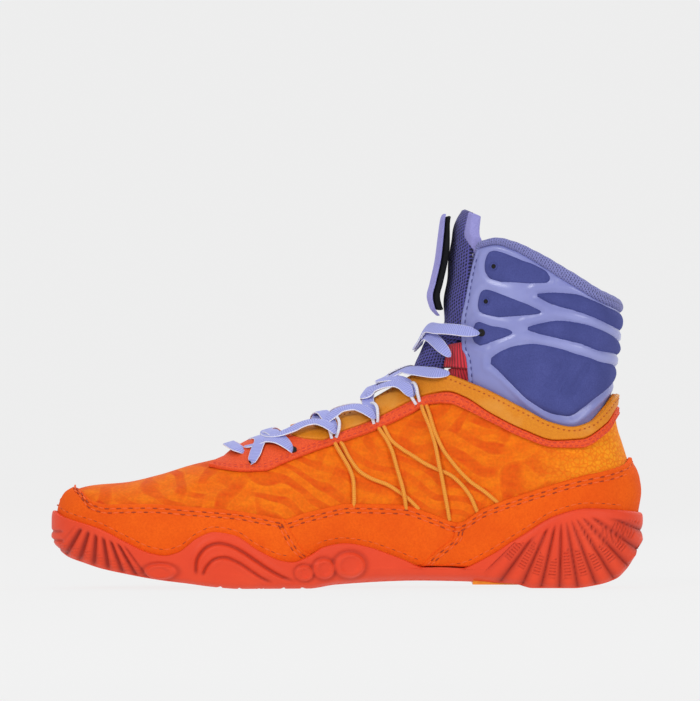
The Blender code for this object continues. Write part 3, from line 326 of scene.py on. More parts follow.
# Tongue: its ridge in side view, as shares of sole length and collar height, with its half width and
# how far its edges hang back from the ridge
TONGUE = [
    # along, up, half width, fall
    (0.285, 0.3570, 0.0160, 0.0070),
    (0.350, 0.4040, 0.0175, 0.0100),
    (0.420, 0.458, 0.0180, 0.0120),
    (0.500, 0.493, 0.0180, 0.0125),
    (0.560, 0.546, 0.0160, 0.0135),
    (0.605, 0.590, 0.0125, 0.0135),
    (0.617, 0.652, 0.0115, 0.0130),
    (0.629, 0.695, 0.0125, 0.0120),
    (0.645, 0.728, 0.0140, 0.0115),
    (0.6627, 0.757, 0.0170, 0.0105),
    (0.6635, 0.810, 0.0175, 0.0100),
    (0.671, 0.925, 0.0185, 0.0100),
    (0.6765, 1.010, 0.0190, 0.0085),
    (0.695, 1.082, 0.0140, 0.0045),
]

# Lace cover in front of the tongue: up as share of the collar height, along of the sole's length
COVER = [
    # up, along, half width
    (0.775, 0.6500, 0.0110),
    (0.798, 0.6390, 0.0150),
    (0.832, 0.6340, 0.0170),
    (0.867, 0.6387, 0.0175),
    (0.936, 0.6476, 0.0175),
    (1.006, 0.6530, 0.0165),
    (1.052, 0.6570, 0.0140),
    (1.066, 0.6603, 0.0110),
]
COVER_RADIUS = 0.080

# Sole: tread grooves across, arch plate, ribs
GROOVES = [0.285, 0.320, 0.355, 0.390, 0.425, 0.835, 0.862]
GROOVE_WIDTH = 0.0020
GROOVE_DEPTH = 0.0015
PLATE_FRONT = 0.709
PLATE_BACK = 0.803
PLATE_TOP = 0.0054
WAIST_RISE = 0.0015
BOTTOM_TUCK = 0.0045
WAIST_TUCK = 0.0085
FAN_ALONG = 0.860
FAN_UP = 0.0455
FAN_STEP = math.radians(11.35)
FAN_FIRST = math.radians(17.4)


def curve(table, column):
    """Returns a smooth function through one column of a table, with no overshoot between its rows."""
    x = np.array([row[0] for row in table], dtype=float)
    y = np.array([row[column] for row in table], dtype=float)
    step = np.diff(x)
    rise = np.diff(y) / step
    slope = np.zeros(len(x))
    slope[0] = rise[0]
    slope[-1] = rise[-1]
    for i in range(1, len(x) - 1):
        if rise[i - 1] * rise[i] > 0:
            slope[i] = 2 * rise[i - 1] * rise[i] / (rise[i - 1] + rise[i])

    def at(t):
        t = np.clip(np.asarray(t, dtype=float), x[0], x[-1])
        i = np.clip(np.searchsorted(x, t, side="right") - 1, 0, len(x) - 2)
        u = (t - x[i]) / step[i]
        low = (1 + 2 * u) * (1 - u) ** 2 * y[i] + u * (1 - u) ** 2 * step[i] * slope[i]
        high = u * u * (3 - 2 * u) * y[i + 1] - u * u * (1 - u) * step[i] * slope[i + 1]
        return low + high

    return at


spine_at = curve(LAST, 1)
ball_at = curve(LAST, 2)
heel_at = curve(LAST, 3)
ridge_at = curve(LAST, 4)
power_at = curve(LAST, 5)
leg_half_at = curve(LEG, 1)
leg_front_at = curve(LEG, 2)
setback_at = curve(LEG, 3)
spring_at = curve(UNDERSIDE, 1)
arch_at = curve(UNDERSIDE, 2)
rim_share_at = curve(RIM, 1)
guard_share_at = curve(GUARD_TOP, 1)
edge_share_at = curve(EDGE, 1)
band_low_at = curve(BAND, 1)
band_high_at = curve(BAND, 2)
shaft_front_at = curve(SHAFT_FRONT, 1)
collar_at = curve(COLLAR, 1)


def share(x):
    """Share of the sole's length at x, 0 at the toe's tip."""
    return x / SOLE_LENGTH + 0.5


def place(along):
    """The x of a share of the sole's length."""
    return (along - 0.5) * SOLE_LENGTH


def fade(t):
    """Smooth step from 0 to 1."""
    t = np.clip(t, 0.0, 1.0)
    return t * t * (3 - 2 * t)


def back_x(z):
    """The last's back line in side view."""
    return BACK_X - setback_at(z / COLLAR_HEIGHT) * SOLE_LENGTH


def reach(lap, z):
    """The x at a lap on one side and the share of the section's width left there by the round ends."""
    back = back_x(z)
    lap = np.asarray(lap, dtype=float)
    toe_turn = np.clip(lap / TOE_LAP, 0, 1) * math.pi / 2
    heel_turn = np.clip((lap - HEEL_LAP) / (1 - HEEL_LAP), 0, 1) * math.pi / 2
    middle = np.clip((lap - TOE_LAP) / (HEEL_LAP - TOE_LAP), 0, 1)
    toe_in = np.cos(toe_turn) ** (2 / TOE_POWER)
    straight = back - HEEL_ROUND - TOE_X - TOE_ROUND
    x = TOE_X + TOE_ROUND * (1 - toe_in) + straight * middle + HEEL_ROUND * np.sin(heel_turn)
    ends = np.clip(np.sin(toe_turn), 0, 1) ** (2 / TOE_POWER) * np.clip(np.cos(heel_turn), 0, 1)
    return x, ends


def lap_of(x, z):
    """The lap on one side of a side-view place, the inverse of reach."""
    back = back_x(z)
    x = np.clip(x, TOE_X, back)
    toe_in = np.clip(1 - (x - TOE_X) / TOE_ROUND, 0, 1)
    toe = TOE_LAP * np.arccos(toe_in ** (TOE_POWER / 2)) / (math.pi / 2)
    heel_in = np.clip((x - back + HEEL_ROUND) / HEEL_ROUND, 0, 1)
    heel = HEEL_LAP + (1 - HEEL_LAP) * np.arcsin(heel_in) / (math.pi / 2)
    straight = back - HEEL_ROUND - TOE_X - TOE_ROUND
    middle = TOE_LAP + (HEEL_LAP - TOE_LAP) * (x - TOE_X - TOE_ROUND) / straight
    return np.where(x < TOE_X + TOE_ROUND, toe, np.where(x > back - HEEL_ROUND, heel, middle))


def under_z(x):
    """Height of the sole's underside."""
    return spring_at(share(x)) * TOE_SPRING + arch_at(share(x)) * ARCH_RISE


def bed_z(x):
    """Height of the floor inside the sole's cup."""
    waist = fade((share(x) - 0.45) / 0.15) * fade((0.86 - share(x)) / 0.08)
    return under_z(x) + SOLE_THICKNESS + waist * WAIST_RISE


def feather_z(x):
    """Height of the upper's lower edge, just over the cup's floor."""
    return bed_z(x) + CLEARANCE


def belly_z(x):
    """Height at which the last is widest."""
    low = feather_z(x)
    ridge = ridge_at(share(x)) * INSTEP_HEIGHT
    return low + np.minimum(BELLY_HEIGHT, 0.35 * (ridge - low))


def spine_y(x):
    """The last's middle line in plan, curved to the inner side at the toe."""
    return spine_at(share(x)) * BALL_WIDTH


def half_width(x, z, ends):
    """Half width of the last at a side-view place: foot section below, leg section above."""
    s = share(x)
    low = feather_z(x)
    belly = belly_z(x)
    ridge = ridge_at(s) * INSTEP_HEIGHT
    power = power_at(s)
    rise = np.clip((z - belly) / (ridge - belly), 0, 1)
    top = (1 - rise ** power) ** (1 / power)
    down = np.clip((belly - z) / (belly - low), 0, 1)
    foot = (ball_at(s) * BALL_WIDTH + heel_at(s) * HEEL_WIDTH) * top * (1 - FEATHER_TUCK * down ** 2)
    up = z / COLLAR_HEIGHT
    front = place(leg_front_at(up))
    curl = np.clip((front + FRONT_ROUND - x) / FRONT_ROUND, 0, 1)
    leg = leg_half_at(up) * ANKLE_WIDTH * np.sqrt(1 - curl ** 2)
    blend = fade((z - BLEND_LOW) / (BLEND_HIGH - BLEND_LOW))
    blend = blend * fade((x - BLEND_FRONT) / (BLEND_BACK - BLEND_FRONT))
    return ends * (foot * (1 - blend) + leg * blend)


def height_at(x, girth):
    """Height on the last at a girth share: straight below the belly, then round over to the ridge."""
    low = feather_z(x)
    belly = belly_z(x)
    ridge = ridge_at(share(x)) * INSTEP_HEIGHT
    power = power_at(share(x))
    turn = np.clip((girth - BELLY_GIRTH) / (1 - BELLY_GIRTH), 0, 1) * math.pi / 2
    upper = belly + (ridge - belly) * np.sin(turn) ** (2 / power)
    return np.where(girth < BELLY_GIRTH, low + (belly - low) * girth / BELLY_GIRTH, upper)


def girth_of(x, z):
    """The girth share of a side-view place, the inverse of height_at."""
    low = feather_z(x)
    belly = belly_z(x)
    ridge = ridge_at(share(x)) * INSTEP_HEIGHT
    power = power_at(share(x))
    rise = np.clip((z - belly) / (ridge - belly), 0, 1)
    upper = BELLY_GIRTH + (1 - BELLY_GIRTH) * np.arcsin(rise ** (power / 2)) / (math.pi / 2)
    return np.where(z < belly, BELLY_GIRTH * (z - low) / (belly - low), upper)


def on_last(lap, girth):
    """Points on the last. A girth over 1 comes down the far side of the ridge."""
    lap, girth = np.broadcast_arrays(np.mod(lap, 2.0), np.asarray(girth, dtype=float))
    side = np.where(lap <= 1.0, -1.0, 1.0)
    side = np.where(girth > 1.0, -side, side)
    near = np.where(lap <= 1.0, lap, 2.0 - lap)
    girth = np.where(girth > 1.0, 2.0 - girth, girth)
    before = np.full(near.shape, SOLVE_START)
    missed = height_at(reach(near, before)[0], girth) - before
    z = before + missed
    for _ in range(SOLVE_STEPS):
        miss = height_at(reach(near, z)[0], girth) - z
        turned = np.where(np.abs(missed - miss) > SOLVE_FINE, missed - miss, 1.0)
        step = np.where(np.abs(missed - miss) > SOLVE_FINE, miss * (z - before) / turned, miss)
        before, missed = z, miss
        z = z + step
    x, ends = reach(near, z)
    y = spine_y(x) + side * half_width(x, z, ends)
    return np.stack([x, y, z], axis=-1)


def unit(vectors):
    """Vectors of length one in the same directions."""
    return vectors / np.linalg.norm(vectors, axis=-1, keepdims=True)


def normals(lap, girth):
    """Outward unit normals of the last, from its slopes along and across."""
    lap, girth = np.broadcast_arrays(np.asarray(lap, dtype=float), np.asarray(girth, dtype=float))
    tip = (np.abs(np.mod(lap + 1, 2.0) - 1) < 0.004) & (girth > 0.985)
    lap = np.where(tip, lap + 0.008, lap)
    step = 0.003
    along = on_last(lap + step, girth) - on_last(lap - step, girth)
    across = on_last(lap, girth + step) - on_last(lap, girth - step)
    out = np.cross(along, across)
    out[..., 1] = np.where(tip, 0.0, out[..., 1])
    return unit(out)


def skin(lap, girth, out):
    """Points at a distance out from the last."""
    return on_last(lap, girth) + normals(lap, girth) * np.asarray(out)[..., None]


def settle(lap, height):
    """x and z at a lap where the height is a function of x, given by a few rounds of substitution."""
    near = 1 - np.abs(1 - np.mod(lap, 2.0))
    z = np.full(np.shape(near), 0.05)
    for _ in range(4):
        x, _ends = reach(near, z)
        z = height(x)
    return x, z


def girth_at(lap, height):
    """Girth at a lap for a height given as a function of x."""
    x, z = settle(lap, height)
    return girth_of(x, z)


def edge_z(x):
    """The upper's top edge: the ridge itself in front of the throat."""
    ridge = ridge_at(share(x)) * INSTEP_HEIGHT
    edge = edge_share_at(share(x)) * INSTEP_HEIGHT
    return np.where(share(x) <= THROAT_START, ridge, np.minimum(ridge, edge))


def rim_z(x):
    """The sole wall's rim."""
    return rim_share_at(share(x)) * RIM_HEIGHT


def guard_z(x):
    """The mudguard's top edge, clear of the ridge only behind the toe's tip."""
    return guard_share_at(share(x)) * RIM_HEIGHT


def band_low_z(x):
    """The trim band's lower edge."""
    return band_low_at(share(x)) * INSTEP_HEIGHT


def band_high_z(x):
    """The trim band's upper edge."""
    return band_high_at(share(x)) * INSTEP_HEIGHT


# The side view's scale and place
PIXEL = 0.0004945
PIXEL_MIDDLE = 347.5
PIXEL_FLOOR = 587.0
BODY = "root"


def px_x(px):
    """The x of a column of the side view."""
    return (np.asarray(px, dtype=float) - PIXEL_MIDDLE) * PIXEL


def py_z(py):
    """The height of a row of the side view."""
    return (PIXEL_FLOOR - np.asarray(py, dtype=float)) * PIXEL


def to_px(x, z):
    """The side view's column and row of a place."""
    return x / PIXEL + PIXEL_MIDDLE, PIXEL_FLOOR - z / PIXEL


def length_to(points):
    """The length travelled along a line to each of its points."""
    return np.concatenate([[0], np.cumsum(np.linalg.norm(np.diff(points, axis=0), axis=1))])


def through(points, count):
    """Evenly spaced points of a smooth curve through the given ones, by the length travelled."""
    points = np.asarray(points, dtype=float)
    travelled = length_to(points)
    travelled = travelled / travelled[-1]
    even = np.linspace(0, 1, count)
    return np.stack([bend(travelled, points[:, k], even) for k in range(points.shape[1])], axis=-1)


def bend(x, y, t):
    """Cubic through (x, y) at t, its slope at a knot the chord between the knots on both sides."""
    slope = np.gradient(y, x)
    i = np.clip(np.searchsorted(x, t, side="right") - 1, 0, len(x) - 2)
    step = x[i + 1] - x[i]
    u = (t - x[i]) / step
    low = (1 + 2 * u) * (1 - u) ** 2 * y[i] + u * (1 - u) ** 2 * step * slope[i]
    high = u * u * (3 - 2 * u) * y[i + 1] - u * u * (1 - u) * step * slope[i + 1]
    return low + high


def spread(rows, t):
    """Rows of points between the given rows: a cubic through them at the places t, counted in rows."""
    rows = np.asarray(rows)
    t = np.clip(t, 0, len(rows) - 1)
    slope = np.gradient(rows, axis=0)
    i = np.clip(np.floor(t).astype(int), 0, len(rows) - 2)
    u = (t - i)[:, None, None]
    low = (1 + 2 * u) * (1 - u) ** 2 * rows[i] + u * (1 - u) ** 2 * slope[i]
    high = u * u * (3 - 2 * u) * rows[i + 1] - u * u * (1 - u) * slope[i + 1]
    return low + high


def bump(distance, width):
    """A soft bell: e to the power of minus the square of distance over width."""
    return np.exp(-(distance / width) ** 2)


def rounded(distance, radius):
    """A quarter round: the share of full height at a distance in from an edge of that radius."""
    t = np.clip(distance / radius, 0, 1)
    return np.sqrt(1 - (1 - t) ** 2)


def eased(count, low=0.0, high=1.0):
    """Shares from low to high that lie closer at both ends, half a turn of a cosine."""
    return low + (high - low) * (0.5 - 0.5 * np.cos(np.linspace(0, math.pi, count)))


def line_distance(x, y, line):
    """The shortest distance from places to a line of points, and the share along it of the nearest point."""
    line = np.asarray(line, dtype=float)
    best = np.full(np.shape(x), 1e9)
    where = np.zeros(np.shape(x))
    lengths = np.linalg.norm(np.diff(line, axis=0), axis=1)
    starts = length_to(line)
    for k in range(len(line) - 1):
        ax, ay = line[k]
        dx, dy = line[k + 1] - line[k]
        t = np.clip(((x - ax) * dx + (y - ay) * dy) / (dx * dx + dy * dy), 0, 1)
        d = np.hypot(x - ax - t * dx, y - ay - t * dy)
        where = np.where(d < best, (starts[k] + t * lengths[k]) / starts[-1], where)
        best = np.minimum(best, d)
    return best, where


def grid_normals(points, closed=False):
    """Unit normals of a grid from the cross product of its two slopes."""
    if closed:
        across = np.roll(points, -1, axis=1) - np.roll(points, 1, axis=1)
    else:
        across = np.gradient(points, axis=1)
    out = np.cross(across, np.gradient(points, axis=0))
    size = np.linalg.norm(out, axis=-1, keepdims=True)
    return out / np.maximum(size, 1e-12)


def down_columns(points):
    """The length travelled down a grid's columns to each of its points."""
    down = np.linalg.norm(np.diff(points, axis=0), axis=-1)
    return np.concatenate([np.zeros((1, points.shape[1])), np.cumsum(down, axis=0)])


def along_rows(points):
    """The length travelled along a grid's rows to each of its points."""
    along = np.linalg.norm(np.diff(points, axis=1), axis=-1)
    return np.concatenate([np.zeros((points.shape[0], 1)), np.cumsum(along, axis=1)], axis=1)


def edge_distance(points):
    """Distance of each grid point from the grid's nearest edge, measured along its rows and columns."""
    down = down_columns(points)
    along = along_rows(points)
    best = np.minimum(down, down[-1] - down)
    return np.minimum(best, np.minimum(along, along[:, -1:] - along))


def from_top(points):
    """Distance of each grid point from the grid's last row."""
    down = down_columns(points)
    return down[-1] - down


def numbered(grid):
    """The point numbers of a grid, in its own shape."""
    return np.arange(grid.shape[0] * grid.shape[1]).reshape(grid.shape[:2])


def quads(index, closed=False):
    """Corners of the faces between neighbouring rows and columns of a grid of point numbers."""
    if closed:
        index = np.concatenate([index, index[:, :1]], axis=1)
    a, b = index[:-1, :-1], index[:-1, 1:]
    c, d = index[1:, 1:], index[1:, :-1]
    return np.stack([a, b, c, d], axis=-1).reshape(-1, 4)


def put(name, points, faces, look, uv=None, values=None, weld=0.0):
    """A smooth mesh object from points and faces, turned so that the volume it closes is positive.

    The signed volume is the sum over triangles of the first corner times the cross product of the others.
    """
    points = np.asarray(points, dtype=float).reshape(-1, 3)
    volume = 0.0
    for group in faces:
        for k in range(1, group.shape[1] - 1):
            volume += np.sum(points[group[:, 0]] * np.cross(points[group[:, k]], points[group[:, k + 1]]))
    if volume < 0:
        faces = [group[:, ::-1] for group in faces]
    corners = np.concatenate([group.ravel() for group in faces])
    totals = np.concatenate([np.full(len(group), group.shape[1]) for group in faces])
    starts = np.concatenate([[0], np.cumsum(totals)[:-1]])
    mesh = bpy.data.meshes.new(name)
    mesh.vertices.add(len(points))
    mesh.vertices.foreach_set("co", points.ravel())
    mesh.loops.add(len(corners))
    mesh.loops.foreach_set("vertex_index", corners.astype(np.int32))
    mesh.polygons.add(len(totals))
    mesh.polygons.foreach_set("loop_start", starts.astype(np.int32))
    mesh.update(calc_edges=True)
    mesh.polygons.foreach_set("use_smooth", np.ones(len(totals), dtype=bool))
    if uv is not None:
        layer = mesh.uv_layers.new(name="UVMap")
        layer.data.foreach_set("uv", np.asarray(uv, dtype=float).reshape(-1, 2)[corners].ravel())
    for key, value in (values or {}).items():
        mesh.attributes.new(key, "FLOAT", "POINT").data.foreach_set("value", np.ravel(value))
    mesh.validate()
    if weld:
        work = bmesh.new()
        work.from_mesh(mesh)
        bmesh.ops.remove_doubles(work, verts=work.verts, dist=weld)
        bmesh.ops.dissolve_degenerate(work, edges=work.edges, dist=weld)
        work.to_mesh(mesh)
        work.free()
    made = bpy.data.objects.new(name, mesh)
    mesh.materials.append(look)
    bpy.context.scene.collection.objects.link(made)
    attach(made, BODY)
    return made


def plate_between(top, bottom):
    """Points and faces of a closed plate: two grids and a border that joins their edges."""
    index = numbered(top)
    under = index.size
    rim = np.concatenate([index[0], index[1:, -1], index[-1, -2::-1], index[-2:0:-1, 0]])
    after = np.roll(rim, -1)
    side = np.stack([rim, rim + under, after + under, after], axis=1)
    faces = np.concatenate([quads(index), quads(index)[:, ::-1] + under, side])
    return np.concatenate([top.reshape(-1, 3), bottom.reshape(-1, 3)]), faces


def slab(name, top, bottom, look, uv):
    """One object of a closed plate between two grids, with the same flat coordinates on both."""
    points, faces = plate_between(top, bottom)
    both = np.concatenate([uv.reshape(-1, 2), uv.reshape(-1, 2)])
    return put(name, points, [faces], look, both)


def grid_uv(points):
    """Flat coordinates of a grid in metres: the mean length travelled along its rows and its columns."""
    along = np.linalg.norm(np.diff(points, axis=1), axis=-1).mean(axis=0)
    down = np.linalg.norm(np.diff(points, axis=0), axis=-1).mean(axis=1)
    u = np.concatenate([[0], np.cumsum(along)])
    v = np.concatenate([[0], np.cumsum(down)])
    return np.stack(np.meshgrid(u, v), axis=-1)


def overlay(name, laps, girths, seat, thickness, look, radius, relief=0.0):
    """A plate laid on the last: it rises from the seat to its thickness in a quarter round at each edge."""
    base = on_last(laps, girths)
    out = normals(laps, girths)
    rise = rounded(edge_distance(base), radius)
    height = seat + thickness * rise + relief * rise
    top = base + out * height[..., None]
    bottom = base + out * (seat + np.zeros_like(laps))[..., None]
    return slab(name, top, bottom, look, grid_uv(base)), base


def sweep(path, facing, section, round_ends=0):
    """A section of (aside, outward) metres carried along a path, whose facing is outward."""
    path = np.asarray(path, dtype=float)
    along = unit(np.gradient(path, axis=0))
    aside = unit(np.cross(facing, along))
    outward = np.cross(along, aside)
    section = np.asarray(section, dtype=float)
    size = np.ones(len(path))
    if round_ends:
        t = np.arange(len(path))
        near = np.minimum(t, len(path) - 1 - t) / round_ends
        size = np.maximum(rounded(near, 1.0), 0.02)
    points = (path[:, None] + aside[:, None] * section[None, :, :1] * size[:, None, None]
              + outward[:, None] * section[None, :, 1:] * size[:, None, None])
    index = numbered(points)
    travelled = length_to(path)
    u = np.linspace(0, 1, len(section), endpoint=False)
    width = (section[:, 0] - section[:, 0].min()) / np.ptp(section[:, 0])
    uv = np.stack(np.broadcast_arrays(width, travelled[:, None]), axis=-1)
    caps = [index[0][None, ::-1], index[-1][None, :]]
    values = {"round": np.broadcast_to(u, index.shape)}
    return points.reshape(-1, 3), [quads(index, closed=True), *caps], uv.reshape(-1, 2), values


def merged(name, pieces, look):
    """One object from several swept pieces."""
    points, faces, uvs, rounds, offset = [], [], [], [], 0
    for piece_points, piece_faces, uv, values in pieces:
        points.append(piece_points)
        faces += [group + offset for group in piece_faces]
        uvs.append(uv)
        rounds.append(np.ravel(values["round"]))
        offset += len(piece_points)
    uv = np.concatenate(uvs)
    return put(name, np.concatenate(points), faces, look, uv, {"round": np.concatenate(rounds)})


def ring_section(radius):
    """A round section's points."""
    turn = np.linspace(0, 2 * math.pi, 12, endpoint=False)
    return np.stack([radius * np.cos(turn), radius * np.sin(turn)], axis=-1)


def flat_section(width, height, count=20):
    """A flat lace's section: an ellipse squared off by powers of its sine and cosine."""
    turn = np.linspace(0, 2 * math.pi, count, endpoint=False) + math.pi / count
    c, s = np.cos(turn), np.sin(turn)
    aside = width / 2 * np.sign(c) * np.abs(c) ** 0.45
    return np.stack([aside, height / 2 * np.sign(s) * np.abs(s) ** 0.8], axis=-1)


STITCH_RINGS = ((-0.36, 0.8), (0.0, 1.0), (0.36, 0.8))
STITCH_SIDES = 6


def stitch_shape():
    """A stitch of unit size: rings between two poles, as (along, aside, outward), and its triangles."""
    turn = np.linspace(0, 2 * math.pi, STITCH_SIDES, endpoint=False)
    points = [(-0.5, 0.0, -0.35)]
    for along, size in STITCH_RINGS:
        points += [(along, 0.5 * size * math.cos(t), 0.5 * size * math.sin(t)) for t in turn]
    points.append((0.5, 0.0, -0.35))
    faces = []
    for k in range(STITCH_SIDES):
        n = (k + 1) % STITCH_SIDES
        faces.append((0, 1 + n, 1 + k))
        for ring in range(len(STITCH_RINGS) - 1):
            a = 1 + ring * STITCH_SIDES
            b = a + STITCH_SIDES
            faces += [(a + k, a + n, b + n), (a + k, b + n, b + k)]
        last = 1 + (len(STITCH_RINGS) - 1) * STITCH_SIDES
        faces.append((last + k, last + n, len(points) - 1))
    return np.array(points), np.array(faces)


def stitches(name, lines, pitch, length, thick, look, sink, phase=0.5):
    """Stitches in one mesh along lines of (points, normals), one each pitch, held down by sink."""
    shape, shape_faces = stitch_shape()
    points, faces = [], []
    offset = 0
    for line, outs in lines:
        travelled = length_to(line)
        places = np.arange(pitch * phase, travelled[-1] - length / 2, pitch)
        for s in places:
            here, ahead, behind = (np.array([np.interp(t, travelled, line[:, k]) for k in range(3)])
                                   for t in (s, s + length / 2, s - length / 2))
            out = np.array([np.interp(s, travelled, outs[:, k]) for k in range(3)])
            along = ahead - behind
            along = along / max(np.linalg.norm(along), 1e-9)
            out = out - along * np.dot(out, along)
            out = out / np.linalg.norm(out)
            aside = np.cross(out, along)
            frame3 = np.array([along * length, aside * thick, out * thick])
            points.append(here - out * sink + shape @ frame3)
            faces.append(shape_faces + offset)
            offset += len(shape)
    return put(name, np.concatenate(points), [np.concatenate(faces)], look)


def thread_line(away, laps, girths, distance, lift):
    """The line at a distance along each row of a strip, as points and normals, lifted off the last."""
    lap, girth = [], []
    for away_row, lap_row, girth_row in zip(away, laps, girths):
        order = np.argsort(away_row)
        lap.append(np.interp(distance, away_row[order], lap_row[order]))
        girth.append(np.interp(distance, away_row[order], girth_row[order]))
    lap, girth = np.array(lap), np.array(girth)
    out = normals(lap, girth)
    return on_last(lap, girth) + out * lift, out


def column_line(laps, girths, base, distance, lift):
    """The line on a strip at a distance below its last row."""
    return thread_line(from_top(base).T, laps.T, girths.T, distance, lift)


def side_lap(x, z, side):
    """The lap of a side-view place on the inner side, 0, or the outer side, 1."""
    lap = lap_of(x, z)
    return 2 - lap if side else lap


def off_last(px, py, out, side=0):
    """Points off the last at side-view pixels, with their outward normals."""
    x, z = px_x(px), py_z(py)
    lap = side_lap(x, z, side)
    girth = girth_of(x, z)
    outward = normals(lap, girth)
    return on_last(lap, girth) + outward * (np.asarray(out) + np.zeros(np.shape(lap)))[..., None], outward


# How far apart the threads and ribs that materials draw are, in metres
WEAVE_PITCH = 0.0008
LACE_RIB_PITCH = 0.0011
WEBBING_RIB_PITCH = 0.0016


def hex_rgb(code):
    """Linear colour of an sRGB hex code: c / 12.92 when dark, else ((c + 0.055) / 1.055) to the power 2.4."""
    c = np.array([int(code[i:i + 2], 16) for i in (1, 3, 5)]) / 255
    c = np.where(c <= 0.04045, c / 12.92, ((c + 0.055) / 1.055) ** 2.4)
    return (float(c[0]), float(c[1]), float(c[2]), 1.0)


def add(tree, kind, inputs=None, **settings):
    """Adds a node with its settings, and sets or links its inputs."""
    made = tree.nodes.new("ShaderNode" + kind)
    for key, value in settings.items():
        setattr(made, key, value)
    for key, value in (inputs or {}).items():
        if isinstance(value, bpy.types.NodeSocket):
            tree.links.new(value, made.inputs[key])
        else:
            made.inputs[key].default_value = value
    return made


def finish_material(name, colour, roughness, **sockets):
    """A Principled material with the values that are the same all over it, and its node tree."""
    made = bpy.data.materials.new(name)
    made.use_nodes = True
    made.diffuse_color = hex_rgb(colour)
    shader = made.node_tree.nodes["Principled BSDF"]
    shader.inputs["Base Color"].default_value = hex_rgb(colour)
    shader.inputs["Roughness"].default_value = roughness
    for key, value in sockets.items():
        shader.inputs[key.replace("_", " ")].default_value = value
    return made, made.node_tree


def noise(tree, at, scale, detail=2.0, **sockets):
    """Noise at the given coordinates, its scale in waves a metre."""
    return add(tree, "TexNoise", {"Vector": at, "Scale": scale, "Detail": detail, **sockets}).outputs["Fac"]


def mixed(tree, amount, low, high):
    """The colour at an amount of the way from one to another, each a hex code or a node's colour."""
    low, high = (hex_rgb(colour) if isinstance(colour, str) else colour for colour in (low, high))
    return add(tree, "Mix", {0: amount, 6: low, 7: high}, data_type="RGBA").outputs[2]


def span(tree, value, low=0.0, high=1.0, to_low=0.0, to_high=1.0):
    """A value carried from one range to another in a straight line and held inside it."""
    return add(tree, "MapRange", {"Value": value, "From Min": low, "From Max": high, "To Min": to_low,
                                  "To Max": to_high}).outputs[0]


def maths(tree, operation, one, other=None):
    """A node's sum on one value or two."""
    inputs = {0: one} if other is None else {0: one, 1: other}
    return add(tree, "Math", inputs, operation=operation).outputs[0]


def own_place(tree):
    """The piece's own coordinates in metres."""
    return add(tree, "TexCoord").outputs["Object"]


def own_uv(tree):
    """The piece's two flat coordinates: metres, or on a swept cord its share across and metres along."""
    parts = add(tree, "SeparateXYZ", {"Vector": add(tree, "UVMap", uv_map="UVMap").outputs["UV"]})
    return parts.outputs["X"], parts.outputs["Y"]


def ribs(tree, along, pitch, high=1.0):
    """Ribs across a coordinate, one each pitch: a sine carried from -1 and high to 0 and 1."""
    turns = maths(tree, "MULTIPLY", along, 2 * math.pi / pitch)
    return span(tree, maths(tree, "SINE", turns), -1.0, high)


def dressed(made, colour, height, strength, depth, rough=None, invert=False):
    """Ends a material: its linked colour and roughness, if any, and the bump of a height, depth in metres."""
    tree = made.node_tree
    raised = add(tree, "Bump", {"Height": height, "Strength": strength, "Distance": depth}, invert=invert)
    shader = tree.nodes["Principled BSDF"]
    for value, key in ((colour, "Base Color"), (rough, "Roughness"), (raised.outputs[0], "Normal")):
        if value is not None:
            tree.links.new(value, shader.inputs[key])
    return made


def moulded_rubber():
    """Moulded sole rubber: an even matte skin with a fine grit from the tool, and painted shade down in its
    grooves.
    """
    made, tree = finish_material("moulded_rubber", "#E6421F", 0.50, Specular_IOR_Level=0.3)
    mottle = noise(tree, own_place(tree), 55.0, 3.0)
    grit = noise(tree, own_place(tree), 1600.0)
    # Painted shade: the relief attribute darkens the colour toward #A0240F down in the sole's grooves.
    groove_shade = span(tree, add(tree, "Attribute", attribute_name="relief").outputs["Fac"], -1.0, 0.0, 1.0, 0.0)
    colour = mixed(tree, groove_shade, mixed(tree, mottle, "#E03C1C", "#F04E28"), "#A0240F")
    return dressed(made, colour, grit, 0.35, 0.0002, span(tree, mottle, 0.0, 1.0, 0.46, 0.60))


def napped(name, light, dark, shade, grain=900.0, sheen=0.25, depth=0.00025, patch=45.0):
    """Buffed nap, as on suede or microfibre: short fibres that scatter light, with soft brushed patches, and
    painted shade in the fibres' low spots.
    """
    made, tree = finish_material(name, light, 0.9, Sheen_Weight=sheen, Sheen_Roughness=0.5,
                                 Sheen_Tint=hex_rgb(light), Specular_IOR_Level=0.2)
    brushed = noise(tree, own_place(tree), patch, 4.0, Roughness=0.6)
    fibre = noise(tree, own_place(tree), grain, 3.0, Roughness=0.7)
    tone = mixed(tree, span(tree, brushed, 0.35, 0.65), dark, light)
    # Painted shade: where the fibre bump is low, the colour goes part way toward the shade colour.
    colour = mixed(tree, span(tree, fibre, 0.62, 0.34, 0.0, 0.55), tone, shade)
    return dressed(made, colour, fibre, 0.6, depth)


